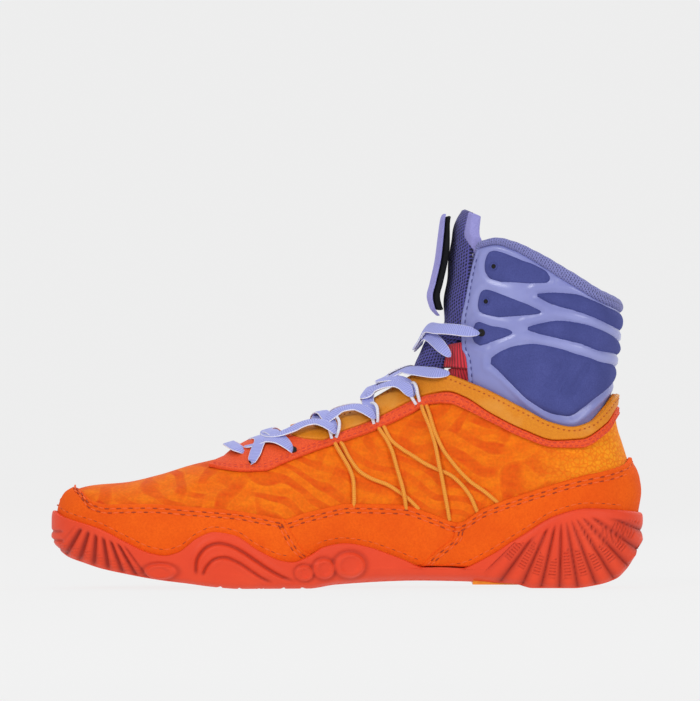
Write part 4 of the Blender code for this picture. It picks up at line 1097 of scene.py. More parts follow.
def printed_textile():
    """Woven synthetic with a tonal print: crossing brush strokes with thin light outlines, and heel scales.

    Two sets of warped bands, 9 and 13 mm apart and leaning opposite ways, are cut to strokes 4 to 5 mm wide,
    and a broad noise says which set shows. The scales are Voronoi cells 2.4 mm across, faded in over the
    heel. The weave's threads are drawn twice as far apart as real ones, so that they show.
    """
    made, tree = finish_material("printed_textile", "#F57A0A", 0.8, Sheen_Weight=0.02, Sheen_Roughness=0.4,
                                 Specular_IOR_Level=0.2)
    at = own_place(tree)
    parts = add(tree, "SeparateXYZ", {"Vector": at}).outputs
    which = span(tree, noise(tree, at, 24.0, Distortion=0.8), 0.44, 0.56)
    strokes, lines = [], []
    for turn, scale, warp_by, cut in ((1.15, 33.0, 8.0, 0.50), (-0.5, 24.0, 10.0, 0.56)):
        leaned_at = add(tree, "Mapping", {"Vector": at, "Rotation": (0.0, turn, 0.0)})
        wave = add(tree, "TexWave", {"Vector": leaned_at.outputs[0], "Scale": scale, "Distortion": warp_by,
                                     "Detail": 1.5, "Detail Scale": 1.1, "Detail Roughness": 0.4})
        wave = wave.outputs["Fac"]
        strokes.append(span(tree, wave, cut - 0.06, cut + 0.26))
        off = maths(tree, "ABSOLUTE", maths(tree, "SUBTRACT", wave, cut - 0.03))
        lines.append(span(tree, off, 0.015, 0.07, 0.30, 0.0))
    stroke, line = (add(tree, "Mix", {0: which, 2: one, 3: other}, data_type="FLOAT").outputs[0]
                    for one, other in (strokes, lines))
    brushed_at = add(tree, "Mapping", {"Vector": at, "Rotation": (0.0, 0.7, 0.0), "Scale": (1.0, 0.6, 3.0)})
    brushed = noise(tree, brushed_at.outputs[0], 120.0, 4.0)
    red = maths(tree, "MULTIPLY", stroke, span(tree, brushed, 0.3, 0.7, 0.15, 0.90))
    base = mixed(tree, span(tree, brushed, 0.42, 0.70), "#EC6A06", "#F47C08")
    lined = mixed(tree, line, mixed(tree, red, base, "#DC4404"), "#F28414")
    cell = add(tree, "TexVoronoi", {"Vector": at, "Scale": 420.0}, feature="DISTANCE_TO_EDGE")
    cell_line = span(tree, cell.outputs["Distance"], 0.02, 0.20)
    heel = span(tree, parts["X"], 0.085, 0.125)
    gilt = mixed(tree, cell_line, "#F28210", "#FDA41C")
    coloured = mixed(tree, maths(tree, "MULTIPLY", heel, 0.8), lined, gilt)
    mottle = noise(tree, at, 700.0)
    fleck = span(tree, mottle, 0.35, 0.65, 0.92, 1.05)
    fine = add(tree, "VectorMath", {0: coloured, "Scale": fleck}, operation="SCALE").outputs[0]
    warp, weft = (maths(tree, "SINE", maths(tree, "MULTIPLY", parts[axis], 2 * math.pi / WEAVE_PITCH))
                  for axis in "XZ")
    weave = maths(tree, "MULTIPLY", maths(tree, "MULTIPLY", warp, weft), 0.35)
    height = maths(tree, "ADD", maths(tree, "MULTIPLY", cell_line, heel), weave)
    return dressed(made, fine, maths(tree, "ADD", height, mottle), 0.5, 0.00012)


def grained(name, light, dark, grain, rough=0.6, depth=0.00015, patch_colour=None):
    """Coated synthetic leather: a pebbled grain of Voronoi cells, with painted shade between the pebbles so
    that their tops are lighter.
    """
    made, tree = finish_material(name, light, rough, Specular_IOR_Level=0.3)
    pebble = add(tree, "TexVoronoi", {"Vector": own_place(tree), "Scale": grain}, feature="SMOOTH_F1")
    pebble = pebble.outputs["Distance"]
    # Painted shade: the colour goes from light on the pebbles' tops to dark in the dips between them.
    tone = mixed(tree, span(tree, pebble, 0.15, 0.6), light, dark)
    # Paler patches where a broad noise is high, toward the patch colour, on pieces that are given one.
    pale_patch = span(tree, noise(tree, own_place(tree), 60.0, 3.0), 0.52, 0.72, 0.0, 0.8 if patch_colour else 0.0)
    return dressed(made, mixed(tree, pale_patch, tone, patch_colour or light), pebble, 0.6, depth, invert=True)


def moulded_film():
    """Fused film over the ankle shaft: smooth satin lilac with the textile's faint grain under it."""
    made, tree = finish_material("moulded_film", "#8488C4", 0.38, Coat_Weight=0.5, Coat_Roughness=0.22)
    cloud = noise(tree, own_place(tree), 30.0, 3.0)
    grain = noise(tree, own_place(tree), 1300.0)
    tone = mixed(tree, span(tree, cloud, 0.35, 0.65), "#7E83C2", "#9095D0")
    return dressed(made, tone, grain, 0.25, 0.0001, span(tree, cloud, 0.0, 1.0, 0.34, 0.48))


def mesh_knit(name, thread, hole, pitch, hole_share=0.34):
    """Open knit: holes in rows, painted dark as the shade inside them, each row half a pitch further on than
    the last, by a shear of the UV.
    """
    made, tree = finish_material(name, thread, 0.85, Sheen_Weight=0.15)
    u, v = own_uv(tree)
    across = maths(tree, "ADD", u, maths(tree, "MULTIPLY", v, 0.5))
    joined = add(tree, "CombineXYZ", {"X": across, "Y": v})
    dots = add(tree, "TexVoronoi", {"Vector": joined.outputs[0], "Scale": 1.0 / pitch, "Randomness": 0.12},
               voronoi_dimensions="2D")
    open_share = span(tree, dots.outputs["Distance"], hole_share - 0.08, hole_share + 0.06)
    # Painted shade: the hole colour darkens the knit's openings, where the bump is low.
    return dressed(made, mixed(tree, open_share, hole, thread), open_share, 0.8, 0.0005)


def woven_lace():
    """Flat woven lace: lilac with white selvedges, its cross ribs drawn wide enough to show, with painted
    shade between them.
    """
    made, tree = finish_material("woven_lace", "#A3A8E4", 0.8, Sheen_Weight=0.2)
    u, v = own_uv(tree)
    aside = maths(tree, "ABSOLUTE", maths(tree, "SUBTRACT", u, 0.5))
    rib = ribs(tree, v, LACE_RIB_PITCH)
    # Painted shade: darker #8E93D6 between the ribs, where the rib bump is low.
    tone = mixed(tree, rib, "#8E93D6", "#ABB0EC")
    return dressed(made, mixed(tree, span(tree, aside, 0.452, 0.475), tone, "#E9E8F6"), rib, 0.5, 0.0002)


def braided(name, light, dark, pitch):
    """Braided cord: two sets of strands wound opposite ways, their waves multiplied, off the cord's UV."""
    made, tree = finish_material(name, light, 0.6, Sheen_Weight=0.1)
    turn = add(tree, "Attribute", attribute_name="round").outputs["Fac"]
    along = maths(tree, "MULTIPLY", own_uv(tree)[1], 2 * math.pi / pitch)
    around = maths(tree, "MULTIPLY", turn, 6 * math.pi)
    one, other = (maths(tree, "SINE", maths(tree, way, along, around)) for way in ("ADD", "SUBTRACT"))
    lit = span(tree, maths(tree, "MULTIPLY", one, other), -1.0, 1.0)
    return dressed(made, mixed(tree, lit, dark, light), lit, 0.5, 0.0002)


def ribbed_webbing():
    """Red grosgrain webbing: raised cross cords, with painted shade between them."""
    made, tree = finish_material("ribbed_webbing", "#CB2033", 0.75, Sheen_Weight=0.2)
    rib = ribs(tree, own_uv(tree)[0], WEBBING_RIB_PITCH, 0.6)
    # Painted shade: darker #8E0F20 between the cords, where the rib bump is low.
    return dressed(made, mixed(tree, rib, "#8E0F20", "#DA2A3C"), rib, 0.8, 0.0004)


def sewing_thread(name, colour, rough=0.7):
    """Polyester sewing thread, its twist drawn as a fine noise."""
    made, tree = finish_material(name, colour, rough)
    return dressed(made, None, noise(tree, own_place(tree), 1500.0), 0.5, 0.0001)


def studio_paper():
    """The floor's and backdrop's pale paper: mostly its own even light, and a little shade."""
    return finish_material("studio_paper", "#EFEFEF", 1.0, Specular_IOR_Level=0.0,
                           Base_Color=(0.05, 0.05, 0.05, 1.0), Emission_Color=hex_rgb("#EFEFEF"),
                           Emission_Strength=0.955)[0]


RUBBER = moulded_rubber()
SUEDE = napped("buffed_suede", "#F66610", "#EC5A0E", "#E04E0A", sheen=0.06)
TEXTILE = printed_textile()
TRIM = grained("pebbled_trim", "#F45C26", "#E24A1E", 1500.0, depth=0.00012)
STAY = grained("smooth_stay", "#E48E18", "#DA8012", 1500.0, rough=0.5, depth=0.00006, patch_colour="#E49C40")
FILM = moulded_film()
PAD = napped("microfibre_pad", "#4F5596", "#454B88", "#3D427C", grain=1500.0, depth=0.0001, patch=70.0)
TONGUE_MESH = mesh_knit("tongue_mesh", "#5A57A8", "#15143A", 0.0017)
ROLL_KNIT = mesh_knit("collar_knit", "#7E80BC", "#4A4B7E", 0.0012, hole_share=0.24)
LILAC_CLOTH = napped("lilac_cloth", "#A3A0DC", "#9693D0", "#8380BE", grain=1300.0, depth=0.0001)
# Black lining behind the lace cover, which also paints the shadow under the flap.
BLACK_LINING_AND_SHADE = napped("black_lining_and_shade", "#1C1C20", "#141417", "#0B0B0D", sheen=0.05)
FOOTBED = napped("footbed_cloth", "#7F80B8", "#74759F", "#5E5F8C")
LINING = napped("shaft_lining", "#6D6FAF", "#6163A2", "#50528C", grain=1100.0)
PLATE = grained("arch_plate_plastic", "#F0922A", "#E8851E", 300.0, rough=0.35, depth=0.00001)
LACE = woven_lace()
CORD = braided("white_cord", "#F4F3F8", "#C9C8DA", 0.0016)
CABLE = braided("yellow_cable", "#F5A42C", "#DC831A", 0.0018)
WEBBING = ribbed_webbing()
THREAD_ORANGE = sewing_thread("thread_orange", "#F0641E")
# Painted shade for the gaps between the guard's stitches, where the thread sinks into its holes.
STITCH_GAP_SHADE = sewing_thread("stitch_gap_shade", "#A83A0E")
THREAD_RED = sewing_thread("thread_red", "#D6452C")
THREAD_BROWN = sewing_thread("thread_brown", "#B9560E")
THREAD_VIOLET = sewing_thread("thread_violet", "#4A4C88")
# Painted shade: the dark colour of the eyelet cups, which sit over surfaces with no real hole.
HOLE_SHADE = sewing_thread("eyelet_hole_shade", "#15120F", 0.9)
PAPER = studio_paper()


# Sole: its ribs and motifs, in the side view's pixels
TOE_RIB_TOP = (81.7, 528.2, 120.5, 543.5)
TOE_RIB_BOTTOM = (67.0, 552.7, 137.0, 573.0)
TOE_RIB_STEPS = 6.0
WAVES = [
    # half width, depth, line
    (1.6, 0.00085, [(197, 575), (199, 556), (208.4, 545), (218.6, 541.5), (230.8, 543.5), (243, 549.5),
                    (256, 558.4), (269.6, 567.6), (282, 574.7), (299, 581)]),
    (1.5, 0.00080, [(203, 575), (208.4, 564), (215.5, 557.5), (225.7, 555.5), (238, 560), (252, 569),
                    (264, 577), (276, 582)]),
]
RINGS = [
    # middle, half length, half height, half width of the ring
    (161.5, 570.0, 11.5, 5.6, 1.6),
    (305.0, 571.5, 6.5, 5.6, 1.6),
    (324.5, 567.5, 8.0, 7.4, 1.9),
    (350.0, 564.0, 11.5, 9.6, 2.2),
]
FAN_HATCH_PITCH = 1.55 * 2
FAN_HATCH = (58.0, 84.0)
SCALLOP_DEPTH = 0.0007
SCALLOP_PITCH = 9.0
TIP_BACK = 0.0024
TIP_ROUND = 0.0060
WELD = 0.00001


def sole_relief(x, z):
    """How far the sole's wall stands out: toe ribs, waves, rings and the heel's fan, from side-view places.

    A rib is a sine folded to a round ridge. A groove is a soft bell of the distance to its line.
    """
    px, py = to_px(x, z)
    relief = np.zeros(np.shape(x))
    slant = (TOE_RIB_TOP[3] - TOE_RIB_TOP[1]) / (TOE_RIB_TOP[2] - TOE_RIB_TOP[0])
    top = TOE_RIB_TOP[1] + (px - TOE_RIB_TOP[0]) * slant
    low_slant = (TOE_RIB_BOTTOM[3] - TOE_RIB_BOTTOM[1]) / (TOE_RIB_BOTTOM[2] - TOE_RIB_BOTTOM[0])
    low = TOE_RIB_BOTTOM[1] + (px - TOE_RIB_BOTTOM[0]) * low_slant
    down = (py - top) / np.maximum(low - top, 4.0)
    start = TOE_RIB_TOP[0] + (TOE_RIB_BOTTOM[0] - TOE_RIB_TOP[0]) * down
    end = TOE_RIB_TOP[2] + (TOE_RIB_BOTTOM[2] - TOE_RIB_TOP[2]) * down
    count = (px - start) / np.maximum(end - start, 10.0) * (TOE_RIB_STEPS - 1)
    inside = fade((count + 1.0) / 0.5) * fade((TOE_RIB_STEPS + 0.4 - count) / 0.8) * fade((down + 0.12) / 0.2)
    ridge = np.abs(np.sin(math.pi * count)) ** 0.85 - 1.0
    relief += 0.0019 * ridge * inside * fade((1.25 - down) / 0.3)
    tick = bump(np.mod(py, 3.0) - 1.5, 0.55) * fade((down - 0.62) / 0.06) * fade((1.0 - down) / 0.06)
    relief -= 0.00035 * tick * inside * fade((np.abs(np.sin(math.pi * count)) - 0.75) / 0.1)
    for level in (530.5, 539.5, 549.5):
        relief -= 0.0008 * bump(py - level, 1.5) * fade((66.0 - px) / 5.0)
    for half, depth, line in WAVES:
        distance, along = line_distance(px, py, through(line, 40))
        ends = fade(along / 0.05) * fade((1 - along) / 0.12)
        relief -= 1.35 * depth * bump(distance, 1.15 * half) * ends
        ends = fade(along / 0.1) * fade((1 - along) / 0.2)
        relief += 0.0005 * bump(distance - 2.6 * half, 1.6 * half) * ends
    for mx, my, long, high, half in RINGS:
        turn = np.hypot((px - mx) / long, (py - my) / high)
        off = (turn - 1.0) * min(long, high)
        relief += 0.0010 * bump(off, half) - 0.0006 * bump(off - 2.0 * half, half) * (turn < 2.2)
    angle = np.arctan2(FAN_UP - z, x - place(FAN_ALONG))
    count = (angle - FAN_FIRST) / FAN_STEP
    away = np.hypot(FAN_UP - z, x - place(FAN_ALONG))
    grown = fade((away - 0.010) / 0.010)
    lobe = np.abs(np.cos(math.pi * count)) ** 0.5 - 1
    fan = fade((share(x) - 0.725) / 0.02) * (count < 10.4) * (count > -0.5)
    relief += 0.0017 * lobe * grown * fan
    far = away / PIXEL
    flat = fade((np.abs(np.cos(math.pi * count)) - 0.72) / 0.10)
    short = FAN_HATCH[0] + 6.0 * np.cos(count * 1.7)
    hatch = bump(np.mod(far, FAN_HATCH_PITCH) - FAN_HATCH_PITCH / 2, 0.75)
    hatch = hatch * fade((far - short) / 2.0) * fade((FAN_HATCH[1] - far) / 3.0)
    relief -= 0.00075 * hatch * flat * fan
    return relief


def make_outsole():
    """Rubber cup in one closed grid: floor, inner wall, soft rim, ribbed outer wall and treaded underside."""
    half = np.concatenate([np.linspace(0, 0.30, 180), np.linspace(0.30, 0.70, 150)[1:],
                           np.linspace(0.70, 1.0, 235)[1:]])
    laps = np.concatenate([half, 2.0 - half[-2:0:-1]])
    inner = LAYER_GAP * 2 + GUARD_THICKNESS
    outer = inner + SOLE_WALL
    rim = girth_at(laps, rim_z)
    mate = (len(laps) - np.arange(len(laps))) % len(laps)
    foot = skin(laps, np.zeros(len(laps)), inner)
    foot[:, 2] = bed_z(foot[:, 0])
    middle = np.stack([foot[:, 0], spine_y(foot[:, 0]), bed_z(foot[:, 0])], axis=-1)
    middle = (middle + middle[mate]) / 2
    rows = [middle, (middle + foot) / 2, foot]
    rows += [skin(laps, rim * level, inner) for level in (0.3, 0.6, 0.85)]
    turn = np.linspace(0, math.pi, 7)
    lip = [skin(laps, rim * (1.0 - 0.0011 / 0.035 * (1 - math.sin(t)) * 1.2),
                inner + SOLE_WALL * (0.5 - 0.5 * math.cos(t))) for t in turn]
    rows += lip
    knots = [lip[-1]]
    for level in (0.92, 0.78, 0.64, 0.50, 0.36, 0.22, 0.10):
        knots.append(skin(laps, rim * level, outer + 0.0 * laps))
    wall = skin(laps, np.zeros(len(laps)), outer)
    level_out = normals(laps, np.zeros(len(laps)))
    level_out[:, 2] = 0
    level_out = unit(level_out)
    waist = fade((share(wall[:, 0]) - 0.42) / 0.12) * fade((0.80 - share(wall[:, 0])) / 0.1)
    tuck = BOTTOM_TUCK + (WAIST_TUCK - BOTTOM_TUCK) * waist * (laps < 1)
    low = wall - level_out * (tuck * 0.3)[:, None]
    low[:, 2] = under_z(low[:, 0]) * 0.55 + wall[:, 2] * 0.45
    bottom = wall - level_out * tuck[:, None]
    bottom[:, 2] = under_z(bottom[:, 0])
    knots += [low, bottom]
    dense = spread(knots, np.linspace(0, len(knots) - 1, 54)[1:])
    dense[:, :, 2] = np.maximum(dense[:, :, 2], under_z(dense[:, :, 0]))
    out = grid_normals(dense, closed=True)
    out = out * np.sign(np.sum(out * level_out[None], axis=-1, keepdims=True) + 1e-9)
    relief = sole_relief(dense[:, :, 0], dense[:, :, 2])
    ends = fade(np.arange(len(dense)) / 4.0) * fade((len(dense) - 1 - np.arange(len(dense))) / 2.0)
    relief = relief * ends[:, None]
    flat = out.copy()
    flat[:, :, 2] = np.minimum(flat[:, :, 2], 0.3) * 0.4
    dense = dense + flat * relief[..., None]
    low_x = dense[-1, :, 0]
    scallop = SCALLOP_DEPTH * (np.abs(np.sin(low_x / PIXEL * math.pi / SCALLOP_PITCH)) - 1.0)
    scallop = scallop * fade((share(low_x) - 0.2) / 0.05) * fade((0.72 - share(low_x)) / 0.05)
    dense[-3:, :, 2] -= scallop[None] * np.array([0.3, 0.7, 1.0])[:, None]
    rows += list(dense)
    # The relief goes on the mesh as the attribute relief, from which the rubber paints shade into the
    # grooves.
    marks = np.concatenate([np.zeros((len(rows) - len(dense), len(laps))), relief / 0.0013])
    edge = dense[-1].copy()
    for inward in (0.02, 0.10, 0.30, 0.55, 0.80, 1.0):
        spine = np.stack([edge[:, 0], spine_y(edge[:, 0]), under_z(edge[:, 0])], axis=-1)
        spine = (spine + spine[mate]) / 2
        row = edge + (spine - edge) * inward
        row[:, 2] = tread_z(row[:, 0])
        rows.append(row)
        marks = np.concatenate([marks, np.zeros((1, len(laps)))])
    rows = np.array(rows)
    below_rim = rim_z(rows[..., 0]) - rows[..., 2]
    tip = fade((place(0.035) - rows[..., 0]) / 0.012) * (1 - rounded(below_rim, TIP_ROUND))
    outer_share = np.zeros(len(rows))
    outer_share[6:13] = 0.5 - 0.5 * np.cos(turn)
    outer_share[13:13 + len(dense)] = 1.0
    rows[..., 0] += TIP_BACK * tip * outer_share[:, None]
    rows[:, :, 2] = np.maximum(rows[:, :, 2], 0.0)
    index = numbered(rows)
    made = put("outsole_cup", rows, [quads(index, closed=True)], RUBBER, values={"relief": marks}, weld=WELD)
    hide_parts("outsole")


def tread_z(x):
    """The underside's height, raised in its cross grooves and over the arch plate by soft steps."""
    z = under_z(x)
    for groove in GROOVES:
        z = z + GROOVE_DEPTH * fade((GROOVE_WIDTH / 2 + 0.0003 - np.abs(x - place(groove))) / 0.0006)
    front, back = place(PLATE_FRONT) - 0.0004, place(PLATE_BACK) + 0.0004
    recess = fade((x - front) / 0.0008) * fade((back - x) / 0.0008)
    return z * (1 - recess) + (PLATE_TOP + CLEARANCE) * recess


# Creases of the upper: troughs across the vamp where the foot bends, and folds by the laces
CREASES = [
    # side-view line, half width in pixels, depth
    ([(150, 498), (163, 488), (178, 480), (196, 474)], 6.0, 0.0006),
    ([(186, 503), (200, 492), (216, 484), (236, 479)], 6.5, 0.0007),
    ([(226, 506), (240, 496), (256, 488), (276, 482)], 6.0, 0.0006),
    ([(268, 512), (282, 500), (298, 490), (318, 480)], 7.0, 0.0006),
    ([(318, 500), (330, 486), (338, 470), (342, 458)], 6.0, 0.0005),
    ([(386, 478), (392, 462), (394, 446), (392, 432)], 6.0, 0.0005),
    ([(500, 470), (520, 466), (545, 462), (570, 458)], 8.0, 0.0005),
]


def upper_relief(x, z, inner):
    """Soft troughs and the ridges beside them, a bell each, from the creases' lines."""
    px, py = to_px(x, z)
    relief = np.zeros(np.shape(x))
    for line, half, depth in CREASES:
        distance, along = line_distance(px, py, through(line, 12))
        ends = fade(along / 0.3) * fade((1 - along) / 0.3)
        relief -= 1.35 * depth * bump(distance, 1.15 * half) * ends
        relief += depth * 0.5 * bump(distance - half * 1.6, half * 0.8) * ends
    relief *= np.where(inner, 1.0, 0.8)
    return relief


def make_upper():
    """The textile shell: a dense grid from the feather edge to the top edge, with creases, and its wall."""
    half = np.concatenate([np.linspace(0, 0.17, 70), np.linspace(0.17, 0.80, 138)[1:],
                           np.linspace(0.80, 1, 60)[1:]])
    laps = np.concatenate([half, 2.0 - half[-2:0:-1]])
    top = girth_at(laps, edge_z)
    levels = np.linspace(0, 1, 44)
    lap_grid = np.broadcast_to(laps, (len(levels), len(laps)))
    girths = levels[:, None] * top[None]
    base = on_last(lap_grid, girths)
    out = normals(lap_grid, girths)
    relief = upper_relief(base[..., 0], base[..., 2], lap_grid < 1)
    relief = np.minimum(relief, 0.0004) * fade((1 - levels) / 0.12)[:, None]
    outer = base + out * relief[..., None]
    inner = base - out * UPPER_WALL
    rows = np.concatenate([inner[::4], inner[-1:], outer[::-1]])
    index = numbered(rows)
    index = np.concatenate([index, index[:1]])
    made = put("upper_shell", rows, [quads(index, closed=True)], TEXTILE, weld=WELD)
    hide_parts("upper")


GUARD_PROUD = 0.0013
GUARD_LOW = 0.0009
GUARD_STITCH = 0.0061
GUARD_THREAD = 0.0036
GUARD_ROWS = (0.0025, 0.0045)
GUARD_END_ROWS = (0.0024, 0.0044)
CHANNEL_DEPTH = 0.00028
CHANNEL_HALF = 0.0007


def guard_low(x):
    """The mudguard's hidden lower edge, tucked behind the sole's rim."""
    return np.maximum(rim_z(x) - GUARD_HIDDEN, feather_z(x) + CLEARANCE * 2)


def leaned(laps, low, high, levels, slants):
    """Laps and girths of a strip between two heights, its ends leaning by the slants."""
    run = np.linspace(-1, 1, len(laps))
    lap_rows, girth_rows = [], []
    for level in levels:
        lean = np.where(run < 0, slants[0], slants[1]) * (1 - level) * np.abs(run) ** 3
        here = laps + lean
        bottom = girth_at(here, low)
        top = np.minimum(girth_at(here, high), 1.0)
        lap_rows.append(here)
        girth_rows.append(bottom + (top - bottom) * level)
    return np.array(lap_rows), np.array(girth_rows)


def stitch_channel(base, rows, ends):
    """Shallow channels under the stitches: bells of the distance from the last row and from the ends."""
    below = from_top(base)
    relief = np.zeros(below.shape)
    for d in rows:
        relief -= CHANNEL_DEPTH * bump(below - d, CHANNEL_HALF)
    relief -= 0.00012 * bump(below - np.mean(rows), 0.0015)
    along = along_rows(base)
    for d in ends:
        for away in (along, along[:, -1:] - along):
            relief -= CHANNEL_DEPTH * bump(away - d, CHANNEL_HALF)
    return relief


def end_line(laps, girths, base, distance, lift, last):
    """A stitch line beside a strip's first or last column, at a distance from it."""
    along = along_rows(base)
    if last:
        along = along[:, -1:] - along
    rows = slice(int(0.12 * len(base)), int(0.86 * len(base)))
    return thread_line(along[rows], laps[rows], girths[rows], distance, lift)


def rim_line(laps, above, lift):
    """A stitch line above the sole's rim."""
    x, _z = settle(laps, rim_z)
    girth = girth_of(x, rim_z(x) + above)
    out = normals(laps, girth)
    return on_last(laps, girth) + out * lift, out


def over_tip(line, out, laps, girths, base, lift):
    """A stitch line carried over the ridge where the toe guard's columns run up to it, at the toe's tip."""
    at_ridge = np.flatnonzero(girths[-1] > 0.96)
    if not len(at_ridge):
        return line, out
    ends = []
    for k in (at_ridge[0] - 1, at_ridge[-1] + 1):
        row = int(np.argmin(np.linalg.norm(base[:, k] - line[k], axis=-1)))
        ends.append((laps[row, k], girths[row, k]))
    up, down = np.linspace(ends[0][1], 1.0, 7)[1:], np.linspace(1.0, ends[1][1], 7)[:-1]
    lap = np.concatenate([np.full(6, ends[0][0]), np.full(6, ends[1][0])])
    girth = np.concatenate([up, down])
    over_out = normals(lap, girth)
    over = on_last(lap, girth) + over_out * lift
    return (np.concatenate([line[:at_ridge[0]], over, line[at_ridge[-1] + 1:]]),
            np.concatenate([out[:at_ridge[0]], over_out, out[at_ridge[-1] + 1:]]))


def make_guards():
    """Suede rand: toe and heel pieces lapped over the two middle ones, two rows of stitches on each edge."""
    toe_end = float(lap_of(np.array(place(0.391)), 0.034))
    heel_end = float(lap_of(np.array(place(0.684)), 0.033))
    lean, back_lean, lap_over = 0.052, 0.058, 0.006
    turn = eased(320, -1, 1)
    plan = [("guard_toe", ["mudguard_toe"], toe_end * np.sign(turn) * np.abs(turn) ** 1.1, (-lean, lean),
             LAYER_GAP + 0.0003, GUARD_PROUD)]
    plan.append(("guard_heel", ["mudguard_heel"], eased(360, heel_end, 2 - heel_end), (-back_lean, back_lean),
                 LAYER_GAP, GUARD_PROUD + 0.0003))
    middle = eased(170, toe_end - lap_over, heel_end + lap_over)
    plan.append(("guard_mid_inner", ["mudguard_mid_inner"], middle, (lean, -back_lean), 0.0004, GUARD_LOW))
    plan.append(("guard_mid_outer", ["mudguard_mid_outer"], 2.0 - middle[::-1], (back_lean, -lean), 0.0004,
                 GUARD_LOW))
    levels = eased(34)
    threads = []
    for name, nodes, laps, slants, seat, thickness in plan:
        lap_grid, girth_grid = leaned(laps, guard_low, guard_z, levels, slants)
        base = on_last(lap_grid, girth_grid)
        ends = () if "mid" in name else GUARD_END_ROWS
        relief = stitch_channel(base, GUARD_ROWS, ends)
        if name == "guard_heel":
            back = fade((base[..., 0] - place(0.950)) / 0.008) * bump(base[..., 2] - py_z(491), 0.0085)
            relief = relief + 0.0019 * back
        if name == "guard_toe":
            tip = fade((place(0.085) - base[..., 0]) / 0.012) * fade((0.007 - from_top(base)) / 0.006)
            relief = relief - 0.0013 * tip
        made = overlay(name, lap_grid, girth_grid, seat, thickness, SUEDE, 0.0009, relief)[0]
        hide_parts(*nodes)
        lift = seat + thickness - 0.00015
        kept = [grid[:, 4:-4] for grid in (lap_grid, girth_grid, base)]
        for d in GUARD_ROWS:
            line, out = column_line(*kept, d, lift)
            if name == "guard_toe":
                line, out = over_tip(line, out, *kept, lift)
            threads.append((line, out))
        for d in ends:
            for last in (False, True):
                threads.append(end_line(lap_grid, girth_grid, base, d, lift, last))
        inset = 0.02 if "mid" in name else 0.035
        first, last_lap = laps[0] + slants[0] * 0.8 + inset, laps[-1] + slants[1] * 0.8 - inset
        threads.append(rim_line(np.linspace(first, last_lap, 300), 0.0026, lift))
    made = stitches("guard_thread", threads, GUARD_STITCH, GUARD_THREAD, 0.00085, THREAD_ORANGE, 0.0001, 0.2)
    # Painted shade: dark dashes in the gaps between the stitches stand for the shadow of the thread sunk in
    # its holes.
    made = stitches("guard_stitch_gaps", threads, GUARD_STITCH, 0.0026, 0.00075, STITCH_GAP_SHADE, 0.0001, 0.7)


# The throat overlay's front edge runs back from its wings to the ridge
NOTCH_ALONG = (0.264, 0.292, 0.306, 0.316)
NOTCH_ROWS = (466.5, 459.5, 453.0, 444.5)
OVERLAY_ROWS = (0.0018, 0.0034)
STAY_ROW = 0.0022


def overlay_high(x):
    """The throat overlay's top: the ridge in front of the throat, then the upper's edge, then the band's."""
    edge = edge_z(x) - CLEARANCE * (share(x) > THROAT_START)
    notch = py_z(np.interp(share(x), NOTCH_ALONG, NOTCH_ROWS))
    edge = np.where(share(x) < NOTCH_ALONG[-1], np.minimum(edge, notch), edge)
    return np.where(share(x) < 0.385, edge, np.minimum(edge, band_high_z(x)))


def make_throat_overlay():
    """Overlay round the front of the throat, one piece across the ridge, with its wall and stitched edge."""
    front = float(lap_of(np.array(place(OVERLAY_FRONT)), 0.06))
    back = float(lap_of(np.array(place(OVERLAY_BACK)), 0.07))
    half = np.linspace(front, back + 0.004, 170)
    levels = eased(26)
    join = float(lap_of(np.array(place(THROAT_START)), 0.07))
    grids = []
    lines = []
    for side in (0, 1):
        laps = np.broadcast_to(2.0 - half if side else half, (len(levels), len(half)))
        bottom = girth_at(laps[0], band_low_z)
        top = np.minimum(girth_at(laps[0], overlay_high), 1.0)
        girths = bottom + (top - bottom) * levels[:, None]
        base = on_last(laps, girths)
        out = normals(laps, girths)
        low_edge = from_top(base)
        from_low = low_edge[:1] - low_edge
        columns = share(base[0, :, 0])
        joined = (np.abs(half) < join) & (columns > NOTCH_ALONG[-1])
        top_edge = np.where(joined[None], 1.0, low_edge)
        end = np.linalg.norm(base - base[:, -1:], axis=-1) + 0.0006
        rise = rounded(np.minimum(np.minimum(from_low, top_edge), end), 0.0008)
        height = TRIM_GAP - 0.0006 + (TRIM_THICKNESS + 0.0004) * rise
        channels = sum(bump(from_low - d, 0.0006) for d in OVERLAY_ROWS)
        height = height - 0.00022 * channels * rise
        grids.append((base + out * height[..., None], base + out * (TRIM_GAP - 0.0009)))
        for d in OVERLAY_ROWS:
            lines.append(thread_line(from_low.T[6:], laps.T[6:], girths.T[6:], d,
                                     TRIM_GAP + TRIM_THICKNESS - 0.0003))
    pieces = [plate_between(top, bottom) for top, bottom in grids]
    offset = len(pieces[0][0])
    points = np.concatenate([pieces[0][0], pieces[1][0]])
    faces = np.concatenate([pieces[0][1], pieces[1][1][:, ::-1] + offset])
    made = put("throat_overlay_skin", points, [faces], TRIM)
    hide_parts("throat_overlay")
    return lines


